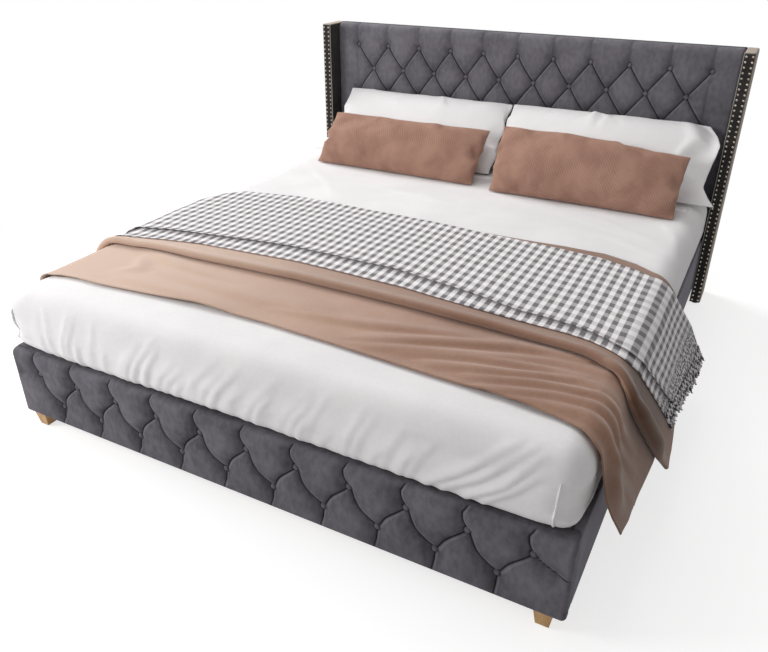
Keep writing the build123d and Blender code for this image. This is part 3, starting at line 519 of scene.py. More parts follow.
def checked_cloth(name):
    """Soft yarn-dyed check in white and greys."""
    material, tree, shader = start_material(name, Sheen_Weight=0.2, Roughness=0.9, Specular_IOR_Level=0.15)
    checks = placed(
        tree, woven_checks, Vector=attribute(tree, "cloth", "Vector"),
        White="f8f5f6", Pale="dedadc", Grey="b0abad", Dark="645f61",
    )
    wire(tree, shader.inputs["Base Color"], checks["Color"])
    raised(tree, shader, checks["Height"], 0.0008, 0.6)
    return material


gingham = checked_cloth("gingham")
print("checked cloth ready")


# %% [markdown]
# ## Corduroy
# The lumbar cushions are in fine corduroy whose ribs run diagonally. Modelled ribs would need
# millions of points, so a wave on the flat cloth gives them their colour and a small height.

# %% Corduroy
def rib_group():
    """Fine ribs that run diagonally over the cloth."""
    group, ins, outs = start_group(
        "fine_ribs",
        [("Vector", "vector", None), ("Pitch", "value", 0.0105), ("Light", "colour", None),
        ("Dark", "colour", None)],
        [("Color", "colour"), ("Height", "value")],
    )
    parts = split(group, ins["Vector"])
    slant = maths(group, "ADD", parts[0], maths(group, "MULTIPLY", parts[1], 0.9))
    wave = maths(group, "SINE",
        maths(group, "MULTIPLY", maths(group, "DIVIDE", slant, ins["Pitch"]), math.tau))
    rib = maths(group, "MULTIPLY_ADD", wave, 0.5, 0.5)
    patches = ramped(group, noise(group, ins["Vector"], 9.0, 3.0), 0.3, 0.7)
    share = maths(group, "MULTIPLY_ADD", rib, 0.26, maths(group, "MULTIPLY_ADD", patches, 0.42, 0.18))
    wire(group, outs["Color"], mixed(group, share, ins["Dark"], ins["Light"]))
    wire(group, outs["Height"], rib)
    return group


fine_ribs = rib_group()


def corduroy(name):
    """Fine tan corduroy with a soft sheen."""
    material, tree, shader = start_material(name, Sheen_Weight=0.45, Sheen_Roughness=0.4,
        Roughness=0.85, Specular_IOR_Level=0.2)
    shader.inputs["Sheen Tint"].default_value = screen_colour("d9b8a4")
    ribs = placed(tree, fine_ribs, Vector=attribute(tree, "cloth", "Vector"), Light="b8917f", Dark="7f5c4f")
    wire(tree, shader.inputs["Base Color"], ribs["Color"])
    raised(tree, shader, ribs["Height"], 0.0012, 0.7)
    return material


tan_corduroy = corduroy("tan_corduroy")
print("corduroy ready")


# %% [markdown]
# ## Fringe yarn
# The fringe is spun from dark and white yarn. Each point of a tassel knows which yarn it is on, so
# one material serves both.

# %% Yarn
def yarn():
    """Twisted fringe yarn, dark and white plies."""
    material, tree, shader = start_material("fringe_yarn", Sheen_Weight=0.2, Roughness=0.9)
    patches = placed(
        tree, soft_patches, Vector=own_place(tree), Light="f2eff0", Dark="c8c3c5",
        Patch_Scale=160.0, Grain_Scale=600.0,
    )
    ply = attribute(tree, "ply")
    wire(tree, shader.inputs["Base Color"], mixed(tree, ply, patches["Color"], screen_colour("1f1d20")))
    return material


fringe_yarn = yarn()
print("yarn ready")


# %% [markdown]
# ## Wood, metal, plastic and felt
# Legs, frame, slats, nails, bolts and glides come from the CAD model and only need a finish. Wood
# takes the grain group; the others share one function with soft patches, because nothing real has
# one even colour.

# %% Hard finishes
def wood(name, light, dark, rings, gloss=0.0):
    """Sawn or lacquered wood."""
    material, tree, shader = start_material(name, Coat_Weight=gloss, Coat_Roughness=0.2)
    grain = placed(tree, wood_grain, Vector=own_place(tree), Light=light, Dark=dark, Rings=rings)
    wire(tree, shader.inputs["Base Color"], grain["Color"])
    wire(tree, shader.inputs["Roughness"], grain["Roughness"])
    raised(tree, shader, grain["Height"], 0.0003, 0.4)
    return material


def hard(name, light, dark, rough, metallic=0.0, grain=300.0):
    """Metal, plastic or felt with slow and fine colour variation."""
    material, tree, shader = start_material(name, Metallic=metallic, Roughness=rough)
    patches = placed(
        tree, soft_patches, Vector=own_place(tree), Light=light, Dark=dark,
        Patch_Scale=18.0, Grain_Scale=grain,
    )
    wire(tree, shader.inputs["Base Color"], patches["Color"])
    wire(tree, shader.inputs["Roughness"], maths(tree, "MULTIPLY_ADD", patches["Mask"], -0.12, rough + 0.06))
    raised(tree, shader, patches["Mask"], 0.0002, 0.3)
    return material


golden_wood = wood("golden_wood", "c79a57", "a87a3c", 160.0, 0.3)
timber = wood("timber", "d3b489", "bd9868", 90.0)
plywood = wood("plywood", "cfae80", "bd9a6c", 40.0)
slat_wood = wood("slat_wood", "dcc39a", "c9ab7e", 70.0)
nail_pewter = hard("nail_pewter", "b9b2a6", "8a8378", 0.32, 1.0, 900.0)
zinc_bolt = hard("zinc_bolt", "b8b8b4", "94948f", 0.35, 1.0)
black_steel = hard("black_steel", "2a2a2c", "19191a", 0.45)
black_plastic = hard("black_plastic", "242425", "171718", 0.5)
felt = hard("felt", "4a4744", "33302e", 0.95, 0.0, 700.0)
print("hard finishes ready")


# %% [markdown]
# ## Finishes on the CAD nodes
# Every CAD node that stays gets the finish of its material slot.

# %% Dress the CAD nodes
slot_finish = {
    "headboard_velvet": headboard_velvet, "footboard_velvet": footboard_velvet, "rail_velvet": rail_velvet,
    "wing_velvet": wing_velvet, "piping": welt_cloth, "nail_pewter": nail_pewter, "back_cloth": dust_cloth,
    "plywood": plywood, "timber": timber, "slat_wood": slat_wood, "golden_wood": golden_wood,
    "black_steel": black_steel, "zinc_bolt": zinc_bolt, "black_plastic": black_plastic, "felt": felt,
    "webbing": webbing, "ticking": ticking, "white_cotton": white_cotton, "pillow_cotton": pillow_cotton,
    "tan_blanket": tan_wool, "gingham": gingham, "fringe_yarn": fringe_yarn, "tan_corduroy": tan_corduroy,
}
for part in frame["record"]["subparts"]:
    mesh = frame["nodes"][part["node"]].data
    mesh.materials.clear()
    mesh.materials.append(slot_finish[part["material_slot"]])

# %% [markdown]
# ## Mesh helpers
# Upholstery is a skin over something hard, so most pieces here are grids of points worked out in
# numpy and handed to Blender in one go. Small helpers do the repeated work: they list the faces of a
# grid, make the object, and store a value on each point for a material to read.

# %% Mesh helpers
def grid_faces(rows, columns, start=0, loop=False):
    """Quads of a grid whose points are stored row by row."""
    faces = []
    last = columns if loop else columns - 1
    for i in range(rows - 1):
        for j in range(last):
            k = (j + 1) % columns
            a, b = start + i * columns, start + (i + 1) * columns
            faces.append((a + j, a + k, b + k, b + j))
    return faces


def tube_faces(rings, spokes):
    """Quads of a tube of rings, closed at both ends."""
    total = rings * spokes
    ends = [tuple(range(spokes)), tuple(range(total - spokes, total))[::-1]]
    return grid_faces(rings, spokes, loop=True) + ends


print("faces can be listed")

# %% Pieces
def make_piece(name, points, faces, slot, body):
    """A smooth-shaded object with its material slot's finish and its body."""
    mesh = bpy.data.meshes.new(name)
    mesh.from_pydata(np.asarray(points, float).reshape(-1, 3).tolist(), [], faces)
    mesh.validate()
    mesh.materials.append(slot_finish[slot])
    mesh.shade_smooth()
    piece = bpy.data.objects.new(name, mesh)
    scene.collection.objects.link(piece)
    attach(piece, body)
    return piece


def store(piece, name, values):
    """Keep a value on each point of a mesh, or its place on the flat cloth."""
    kind, label = ("FLOAT_VECTOR", "vector") if name == "cloth" else ("FLOAT", "value")
    layer = piece.data.attributes.new(name, kind, "POINT")
    layer.data.foreach_set(label, np.asarray(values, np.float32).ravel())


# %% Soft steps and unevenness
def smooth(value):
    """0 to 1 with soft ends."""
    value = np.clip(value, 0.0, 1.0)
    return value * value * (3.0 - 2.0 * value)


def turned_out(piece):
    """Turn all faces of a closed piece outwards."""
    shape = bmesh.new()
    shape.from_mesh(piece.data)
    bmesh.ops.recalc_face_normals(shape, faces=shape.faces)
    shape.to_mesh(piece.data)
    shape.free()


def thickened(piece, thickness):
    """Give a sheet its thickness, half to each side."""
    thick = piece.modifiers.new("thickness", "SOLIDIFY")
    thick.thickness, thick.offset = thickness, 0.0


def sway(seed, *places):
    """Smooth made-up unevenness about -1 to 1, the same on every run."""
    draw = np.random.default_rng(seed)
    total = 0.0
    for scale in (1.0, 2.1, 4.3):
        turns = draw.uniform(0.6, 1.4, len(places)) * scale
        starts = draw.uniform(0, math.tau, len(places))
        wave = 1.0
        for place, turn, start in zip(places, turns, starts):
            wave = wave * np.sin(place * turn + start)
        total = total + wave / scale
    return total / 1.4


print("mesh helpers ready")

# %% [markdown]
# ## Deep-tufted pads
# A tufted panel is a slab of foam with the velvet pulled to the board at each button. The spare cloth
# between two buttons folds into a pleat, and the foam swells between the pleats. It could be sculpted
# or simulated, but a height worked out from the distance to the pleats gives every diamond the same
# crisp fold: deep at the line, rising steeply, then round. The grid is laid so that its diagonals run
# exactly along the pleats, which keeps them sharp without a huge mesh.

# %% Pad profile
def pad_profile(s, front, low, high, low_round, high_round):
    """Y, Z and outward direction at a place on a pad's profile: height on the front, length beyond."""
    upper, lower = high - high_round, low + low_round
    turn_up = np.clip((s - upper) / high_round, 0, math.pi / 2)
    turn_down = np.clip((lower - s) / low_round, 0, math.pi / 2)
    back_up = np.maximum(s - upper - high_round * math.pi / 2, 0)
    back_down = np.maximum(lower - s - low_round * math.pi / 2, 0)
    y = front + high_round * (1 - np.cos(turn_up)) + low_round * (1 - np.cos(turn_down)) + back_up + back_down
    z = np.clip(s, lower, upper) + high_round * np.sin(turn_up) - low_round * np.sin(turn_down)
    return y, z, -np.cos(turn_up) * np.cos(turn_down), np.sin(turn_up) - np.sin(turn_down)


print("profile ready")

# %% Pleats
def lattice_pleats(rows, pitch, top, bottom, upward):
    """Straight pleats between neighbouring buttons, and up and down from the outer rows."""
    pleats = []
    for (z0, places0), (z1, places1) in zip(rows, rows[1:]):
        pleats += [(x1, z1, x0, z0, 1.0) for x0 in places0 for x1 in places1
            if abs(abs(x0 - x1) - pitch / 2) < 0.001]
    pleats += [(x, rows[0][0], x, top, upward) for x in rows[0][1]]
    pleats += [(x, bottom, x, rows[-1][0], 1.0) for x in rows[-1][1]]
    return pleats


def pleat_field(x, s, pleats, reach):
    """How far out the foam stands, from 0 in a pleat to 1, and the nearest pleat's distance and side."""
    stand = np.ones_like(x)
    nearest = np.full_like(x, 9.0)
    beside = np.full_like(x, 9.0)
    for x0, s0, x1, s1, strength in pleats:
        ux, us = x1 - x0, s1 - s0
        length = math.hypot(ux, us)
        along = np.clip(((x - x0) * ux + (s - s0) * us) / length ** 2, 0, 1)
        away = np.hypot(x - x0 - along * ux, s - s0 - along * us)
        rise = (1 - (1 - np.minimum(away / reach, 1)) ** 3) ** 0.62
        stand = stand * (1 - strength * (1 - rise))
        closer = (away < nearest) & (strength > 0.7)
        side = ((x - x0) * us - (s - s0) * ux) / length
        beside = np.where(closer, np.where(np.abs(side) < away - 0.001, 9.0, side), beside)
        nearest = np.where(closer, away, nearest)
    return stand, nearest, beside


print("pleats can be placed")

# %% Grid of a pad
def pad_rows(rows, span, rounds, thickness, step):
    """Places up the pad's skin, from its lower back edge round the front to its upper back edge."""
    (low, high), (low_round, high_round) = span, rounds
    first = low + low_round - low_round * math.pi / 2 - (thickness - low_round)
    last = high - high_round + high_round * math.pi / 2 + (thickness - high_round)
    up = np.arange(rows[0][0], last - step * 0.4, step)
    down = np.arange(rows[0][0] - step, low + low_round, -step)
    under = np.linspace(low + low_round, first, 8)
    return np.concatenate([under[::-1], down[::-1], up, [last]])


def pad_columns(half, end_round, step):
    """Places across the pad, how far each turns in at the round ends, and how far it goes to the back."""
    count = int((half - end_round) / step)
    middle = np.arange(-count, count + 1) * step
    turns = np.linspace(0, math.pi / 2, 5)
    end_x = half - end_round + end_round * np.sin(turns)
    end_in = end_round * (1 - np.cos(turns))
    right = [(x, i, 0.0) for x, i in zip(end_x, end_in)] + [(half, end_round, f) for f in (0.35, 0.7, 1.0)]
    columns = [(-x, i, f) for x, i, f in right[::-1]] + [(x, 0.0, 0.0) for x in middle] + right
    return (np.array(values) for values in zip(*columns))


def at_buttons(x, s, rows, shape):
    """The most that a shape, worked out from the distance to a button, comes to at each point."""
    most = np.zeros_like(x)
    for z, places in rows:
        for place in places:
            most = np.maximum(most, shape(np.hypot(x - place, s - z)))
    return most


def cut_along(faces, on_line):
    """Cut each quad that a pleat crosses from corner to corner into two triangles."""
    cut = []
    for a, b, c, d in faces:
        if on_line[a] and on_line[c]:
            cut += [(a, b, c), (a, c, d)]
        elif on_line[b] and on_line[d]:
            cut += [(a, b, d), (b, c, d)]
        else:
            cut.append((a, b, c, d))
    return cut


print("pad grids can be laid")

# %% Tufted pad
def tufted_pad(
    name, slot, node, rounds, rows, pitch, cells, pleat, well, reach, extra=(), bow=(0.0, 0.0), upward=1.0,
):
    """A foam pad with pleats between its buttons, in place of a CAD node."""
    (_, front, low), (half, back, high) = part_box(node)
    low_round, high_round, end_round = rounds
    top_row, row_gap = rows[0][0], rows[0][0] - rows[1][0]
    s = pad_rows(rows, (low, high), (low_round, high_round), back - front, row_gap / cells)
    x, inset, fill = pad_columns(half, end_round, pitch / 2 / cells)
    first, last = s[0], s[-1]
    grid_x, grid_s = np.meshgrid(x, s)
    pleats = lattice_pleats(rows, pitch, last, first, upward) + list(extra)
    stand, nearest, beside = pleat_field(grid_x, grid_s, pleats, reach)
    wide_dimple, tight_dimple = 0.045, 0.018
    wells = at_buttons(
        grid_x, grid_s, rows,
        lambda r: 0.5 * np.exp(-(r / wide_dimple) ** 2) + 0.5 * np.exp(-(r / tight_dimple) ** 2),
    )
    lip = np.exp(-((beside - 0.0075) / 0.0055) ** 2)
    fade = smooth((half - np.abs(grid_x)) / 0.045) * smooth((last - grid_s) / 0.03)
    fade = fade * smooth((grid_s - low - 0.002) / 0.024)
    depth = (pleat * (1 - stand) + well * wells - 0.0005 * lip) * fade
    depth = np.maximum(depth, -0.0015) + 0.0009 * (1 + sway(len(rows), grid_x * 23, grid_s * 31)) * fade
    y, z, ny, nz = pad_profile(grid_s, front, low, high, low_round, high_round)
    move = depth + inset[None, :]
    y, z = y - ny * move, z - nz * move
    y = y + (back - y) * fill[None, :]
    wave_up = np.sin(np.clip((grid_s - top_row) / (last - top_row), 0, 1) * math.pi)
    wave = np.sin(np.clip((top_row - grid_s) / row_gap, 0, len(rows) - 1) * math.pi) ** 2
    shift = (bow[0] * wave_up + bow[1] * wave) * smooth((half - 0.02 - np.abs(grid_x)) / 0.08)
    points = np.stack([grid_x - shift, y, z], axis=-1)
    faces = cut_along(grid_faces(len(s), len(x)), (nearest < 0.0004).ravel())
    piece = make_piece(name, points, faces, slot, "bed_frame")
    # Painted shade: dark in the pleat lines, round each button, in the hollows beside the pleats and on the
    # ends turned to the back.
    ring = at_buttons(grid_x, grid_s, rows, lambda r: np.exp(-((r - 0.009) / 0.004) ** 2))
    line_fade = smooth((last - grid_s) / 0.012) * smooth((half - np.abs(grid_x)) / 0.01)
    fold = np.exp(-nearest / 0.0027) * line_fade
    hollow = 0.5 * (1 - stand) ** 1.6 * line_fade
    turned_back_shade = 0.9 * (fill[None, :] > 0.6)
    painted_shade = np.maximum(np.maximum(fold, ring * 0.8), np.maximum(hollow, turned_back_shade))
    store(piece, "painted_shade", np.clip(painted_shade, 0, 1))
    # Painted highlight: a line beside each pleat and the crown of each diamond.
    highlight_beside_pleat = 0.95 * np.exp(-((beside - 0.0062) / 0.003) ** 2)
    store(piece, "lip", np.maximum(highlight_beside_pleat, 0.5 * stand ** 3) * line_fade)
    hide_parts(node)
    return piece


def row_places(count, pitch):
    """Button places along a row, centred."""
    return [(i - (count - 1) / 2) * pitch for i in range(count)]


print("pads can be tufted")

# %% Headboard pad
head_pitch = 0.165
head_rows = [(0.98 - 0.11 * i, row_places(11 - i % 2, head_pitch)) for i in range(5)]
side_folds = [(side * 0.825, z - 0.22, side * 0.825, z, 0.45) for side in (-1, 1) for z in (0.98, 0.76)]
headboard = tufted_pad(
    "headboard_tufting", "headboard_velvet", "headboard_pad", (0.01, 0.03, 0.012), head_rows, head_pitch,
    20, 0.014, 0.01, 0.06, side_folds, upward=0.55,
)
print("headboard points:", len(headboard.data.vertices))

# %% Footboard pad
foot_pitch = 0.167
foot_rows = [(0.216, row_places(11, foot_pitch)), (0.115, row_places(10, foot_pitch))]
end_folds = [
    (0.868, 0.2, 0.835, 0.216, 0.9), (0.9, 0.19, 0.868, 0.2, 0.8), (0.933, 0.187, 0.9, 0.19, 0.72),
    (-0.933, 0.213, -0.835, 0.216, 0.5),
]
footboard = tufted_pad(
    "footboard_tufting", "footboard_velvet", "footboard_pad", (0.006, 0.022, 0.012), foot_rows, foot_pitch,
    22, 0.017, 0.005, 0.062, end_folds, (0.015, 0.011),
)
print("footboard points:", len(footboard.data.vertices))

# %% [markdown]
# ## Covered buttons
# Each button is a metal cap with velvet pressed round it: a low dome whose cloth gathers in small
# pleats at the rim. All buttons of one board are one mesh, because they share a mould.

# %% Buttons
def covered_buttons(name, node, slot, rows, base, radius=0.0098, height=0.0062):
    """Flattened domes with a gathered rim at each button place, facing the foot."""
    rings, spokes = 6, 24
    points, faces = [], []
    for z, places in rows:
        for x in places:
            start = len(points)
            for i in range(rings + 1):
                share = i / rings
                for j in range(spokes):
                    angle = math.tau * j / spokes
                    pucker = 1 + 0.035 * share ** 4 * math.cos(8 * angle + x * 40)
                    r = radius * math.sin(share * math.pi / 2) * pucker
                    rise = height * math.cos(share * math.pi / 2) ** 0.8
                    points.append((x + r * math.cos(angle), base - rise, z + r * math.sin(angle)))
            faces += grid_faces(rings + 1, spokes, start, loop=True)
    piece = make_piece(name, points, faces, slot, "bed_frame")
    # Painted shade at the rim of each button and a painted highlight on the top of its dome.
    store(piece, "painted_shade", [0.75 * ((i // spokes) % (rings + 1) == rings) for i in range(len(points))])
    store(piece, "lip", [0.4 * ((i // spokes) % (rings + 1) < 3) for i in range(len(points))])
    turned_out(piece)
    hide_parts(node)


for board, rows, sunk in (("headboard", head_rows, 0.0238), ("footboard", foot_rows, 0.0218)):
    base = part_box(board + "_pad")[0][1] + sunk
    covered_buttons(board + "_covered_buttons", board + "_buttons", board + "_velvet", rows, base)
print("buttons:", sum(len(p) for z, p in head_rows), sum(len(p) for z, p in foot_rows))

# %% [markdown]
# ## Padded covers
# The rails, the footboard's back half and the wings are boards wrapped in thin foam and fabric.
# Each is a closed ring of points, a rounded rectangle, repeated along the board. The rings at both
# ends shrink a little, which rounds the end the way pulled fabric does.

# %% Rounded rings
def rounded_ring(a0, a1, b0, b1, rounds, runs):
    """A closed ring round a rectangle. A round below zero is cut in, as for a piping groove."""
    corners = [(a1, b0, -90), (a1, b1, 0), (a0, b1, 90), (a0, b0, 180)]
    ring = []
    for k, ((a, b, start), size) in enumerate(zip(corners, rounds)):
        signs = (1 if a == a1 else -1, 1 if b == b1 else -1)
        arc = []
        for i in range(6):
            if size >= 0:
                angle = math.radians(start + 18 * i)
                arc.append((a - signs[0] * size + size * math.cos(angle),
                    b - signs[1] * size + size * math.sin(angle)))
            else:
                angle = math.radians(start + 180 - 90 + 180 - 18 * i)
                arc.append((a - size * math.cos(angle), b - size * math.sin(angle)))
        if ring:
            ring += [tuple(np.array(ring[-1]) + (np.array(arc[0]) - np.array(ring[-1])) * t)
                for t in np.linspace(0, 1, runs[k - 1] + 2)[1:-1]]
        ring += arc
    ring += [tuple(np.array(ring[-1]) + (np.array(ring[0]) - np.array(ring[-1])) * t)
        for t in np.linspace(0, 1, runs[3] + 2)[1:-1]]
    return np.array(ring)


print("rings can be drawn")

# %% Wrapped boards
def wrapped_board(name, slot, node, along, rounds, runs, end_rounds, step, ripple):
    """A padded skin round a board, in place of a CAD node. Along is the board's long axis."""
    low, high = (np.array(corner, float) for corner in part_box(node))
    cross = [axis for axis in range(3) if axis != along]
    stations = []
    for turn in np.linspace(0, math.pi / 2, 5):
        inset = end_rounds[0] * (1 - math.sin(turn))
        stations.append((low[along] + end_rounds[0] * (1 - math.cos(turn)), inset))
    inner = np.arange(low[along] + end_rounds[0] + step, high[along] - end_rounds[1] - step / 2, step)
    stations += [(place, 0.0) for place in inner]
    for turn in np.linspace(math.pi / 2, 0, 5):
        inset = end_rounds[1] * (1 - math.sin(turn))
        stations.append((high[along] - end_rounds[1] * (1 - math.cos(turn)), inset))
    rings = []
    for place, inset in stations:
        trimmed = [size if size < 0 else max(size - inset, 0.001) for size in rounds]
        ring = rounded_ring(
            low[cross[0]] + inset, high[cross[0]] - inset, low[cross[1]] + inset,
            high[cross[1]] - inset, trimmed, runs,
        )
        layer = np.empty((len(ring), 3))
        layer[:, cross[0]], layer[:, cross[1]], layer[:, along] = ring[:, 0], ring[:, 1], place
        rings.append(layer)
    middle = (low + high) / 2
    for index, last in ((0, rings[0]), (-1, rings[-1])):
        hub = last.mean(axis=0)
        closing = [hub + (last - hub) * share for share in (0.9, 0.4, 0.02)]
        rings = closing[::-1] + rings if index == 0 else rings + closing
    points = np.array(rings)
    away = points[:, :, cross] - middle[cross]
    size = np.linalg.norm(away, axis=2, keepdims=True) + 1e-6
    wave = ripple * sway(
        len(name), points[:, :, along] * 9, points[:, :, cross[0]] * 13, points[:, :, cross[1]] * 17 + 1,
    )
    points[3:-3, :, cross[0]] += (wave[..., None] * away / size)[3:-3, :, 0]
    points[3:-3, :, cross[1]] += (wave[..., None] * away / size)[3:-3, :, 1]
    piece = make_piece(name, points, tube_faces(*points.shape[:2]), slot, "bed_frame")
    turned_out(piece)
    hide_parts(node)
    return piece


print("wrapped boards can be made")

# %% Side rails
rail_covers = []
for side in ("left", "right"):
    outer_first = side == "right"
    rail_rounds = (0.004, 0.009, 0.006, 0.003) if outer_first else (0.003, 0.006, 0.009, 0.004)
    rail_covers.append(wrapped_board(
        "rail_padding_" + side, "rail_velvet", "rail_cover_" + side, 1, rail_rounds,
        (12, 2, 12, 2), (0.004, 0.002), 0.02, 0.0009,
    ))
print("rails:", [len(cover.data.vertices) for cover in rail_covers])

# %% Footboard wrap
foot_wrap = wrapped_board(
    "footboard_wrapping", "footboard_velvet", "footboard_wrap", 0,
    (0.004, 0.008, 0.004, 0.003), (12, 2, 12, 2), (0.005, 0.005), 0.02, 0.0004,
)
print("footboard wrap:", len(foot_wrap.data.vertices))

# %% [markdown]
# ## Wings
# The wings are dark padded posts with a welt along the inner front edge. Their top and outer edge
# catch the light, and that light is painted into their colour; the mesh keeps how much as an attribute.

# %% Wings and welts
for side in ("left", "right"):
    sign = 1 if side == "right" else -1
    low_corner, high_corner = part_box("wing_cover_" + side)
    groove, outer = -0.0042, 0.01
    wing_rounds = (outer, 0.006, 0.004, groove) if sign > 0 else (groove, 0.004, 0.006, outer)
    wing = wrapped_board(
        "wing_padding_" + side, "wing_velvet", "wing_cover_" + side, 2, wing_rounds,
        (12, 4, 12, 4), (0.003, 0.008), 0.022, 0.0003,
    )
    place = np.empty(len(wing.data.vertices) * 3)
    wing.data.vertices.foreach_get("co", place)
    place = place.reshape(-1, 3)
    # Painted highlight on the top and the outer edge, stored for the material.
    top_light = smooth((place[:, 2] - (high_corner[2] - 0.006)) / 0.005)
    outer_light = smooth((np.abs(place[:, 0]) - 0.9715) / 0.004)
    store(wing, "painted_light", np.maximum(top_light, 0.75 * outer_light))
    spokes, stations = 12, np.concatenate([[0.0065], np.arange(0.02, 1.06, 0.02), [1.0675, 1.071, 1.0735]])
    welt_x, welt_y = sign * 0.9341, low_corner[1] + 0.0021
    points = []
    for z in stations:
        lean = max(z - 1.06, 0) * 0.35
        swell = 0.0021 + 0.00012 * math.sin(z * 700)
        points += [(welt_x + swell * math.cos(math.tau * j / spokes),
            welt_y + lean + swell * math.sin(math.tau * j / spokes), z) for j in range(spokes)]
    welt = make_piece("wing_welt_" + side, points, tube_faces(len(stations), spokes), "piping", "bed_frame")
    turned_out(welt)
    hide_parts("wing_piping_" + side)
print("wings ready")

# %% [markdown]
# ## Back cloth
# The back of a headboard is closed with thin black cloth, stapled under a folded edge. It is a sheet,
# so it is laid out as a grid that comes over the top and down the back, slightly slack between the
# timbers, then given a thickness.

# %% Back cloth
low_corner, high_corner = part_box("headboard_back_cover")
over, down = high_corner[1] - low_corner[1], high_corner[2] - low_corner[2]
lengths = np.concatenate([np.linspace(0, over - 0.004, 6), over + np.linspace(0.004, down - 0.004, 80),
    [over + down]])
across = np.linspace(low_corner[0], high_corner[0], 140)
sheet_x, sheet_s = np.meshgrid(across, lengths)
turn = np.clip((sheet_s - (over - 0.005)) / 0.01, 0, 1) * math.pi / 2
cloth_y = np.minimum(low_corner[1] + sheet_s, high_corner[1])
cloth_z = np.where(sheet_s < over, high_corner[2], high_corner[2] - (sheet_s - over))
rim = (smooth((0.9317 - np.abs(sheet_x)) / 0.03) * smooth((sheet_s - over - 0.02) / 0.04)
    * smooth((over + down - sheet_s) / 0.03))
gathers = sway(37, sheet_x * 60, sheet_s * 4) * np.exp(-(sheet_s - over) / 0.15)
slack = 0.0006 * (sway(31, sheet_x * 9, sheet_s * 8) + 0.5 * gathers)
cloth_y = cloth_y - 0.0006 - np.maximum(slack + 0.0004, 0) * rim
back_cloth = make_piece("headboard_dust_cloth",
    np.stack([sheet_x, cloth_y, cloth_z - 0.0006 * (sheet_s < over)], axis=-1),
    grid_faces(*sheet_x.shape), "back_cloth", "bed_frame")
store(back_cloth, "cloth", np.stack([sheet_x, sheet_s, 0 * sheet_x], axis=-1))
thickened(back_cloth, 0.0008)
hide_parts("headboard_back_cover")
print("back cloth:", round(across[-1] - across[0], 3), "by", round(over + down, 3), "m")

# %% [markdown]
# ## Slat webbing
# Two straps of woven webbing hold the slats apart. Each is a flat band, so it is a narrow grid with a
# thickness that dips a little between the slats.

# %% Slat webbing
low_corner, high_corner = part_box("slat_straps")
points, faces, cloth = [], [], []
strap_rows, strap_columns, strap_half = 160, 5, 0.0125
for middle in (-0.45, 0.45):
    start = len(points)
    for y in np.linspace(low_corner[1], high_corner[1], strap_rows):
        for x in np.linspace(-strap_half, strap_half, strap_columns):
            dip = 0.0004 * math.sin(y * 60) ** 2
            points.append((middle + x, y, (low_corner[2] + high_corner[2]) / 2 - dip))
            cloth.append((x, y, 0))
    faces += grid_faces(strap_rows, strap_columns, start)
strap_cloth = make_piece("slat_webbing", points, faces, "webbing", "bed_frame")
store(strap_cloth, "cloth", cloth)
thickened(strap_cloth, 0.001)
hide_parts("slat_straps")
print("webbing points:", len(points))

# %% [markdown]
# ## White bedding
# The white cover is a quilted case pulled over the mattress: flat on top, rolled over at the foot,
# puffed over the rails, and tucked in at the sides. One closed ring of points follows it from the
# bottom edge up the foot, over the top and down the head; the ring is repeated across the bed and
# shrinks into both sides. Folds are drawn as short lines on the unrolled cloth and raise a ridge each.

# %% Ridges from lines
def line_distance(a, b, line):
    """Distance to a polyline, signed side, and the share of its length, for points (a, b)."""
    line = np.array(line, float)
    spans = np.linalg.norm(np.diff(line, axis=0), axis=1)
    total, passed = spans.sum(), 0.0
    best = np.full_like(a, 9.0)
    side, share = np.zeros_like(a), np.zeros_like(a)
    for (a0, b0), (a1, b1), span in zip(line, line[1:], spans):
        ua, ub = (a1 - a0) / span, (b1 - b0) / span
        along = np.clip((a - a0) * ua + (b - b0) * ub, 0, span)
        away = np.hypot(a - a0 - along * ua, b - b0 - along * ub)
        closer = away < best
        best = np.where(closer, away, best)
        side = np.where(closer, np.sign((a - a0) * ub - (b - b0) * ua), side)
        share = np.where(closer, (passed + along) / total, share)
        passed += span
    return best, side, share


def ridges(a, b, folds):
    """Height of soft folds. Each is a line, a height, the width of its steep side and of its long side."""
    height = np.zeros_like(a)
    for line, rise, steep, long in folds:
        away, side, share = line_distance(a, b, line)
        width = np.where(side > 0, steep, long)
        taper = np.sin(np.clip(share * 0.86 + 0.07, 0, 1) * math.pi) ** 0.6
        height = height + (rise * taper * np.exp(-(away / width) ** 2)) ** 3
    return np.cbrt(height)


print("ridges can be drawn")

# %% Bedding ring
low_corner, high_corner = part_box("white_bedding")
bed_half, bed_foot, bed_head, bed_top = high_corner[0], low_corner[1], high_corner[1], high_corner[2]
bed_low, top_round, low_round, plan_round = 0.2973, 0.076, 0.042, 0.1


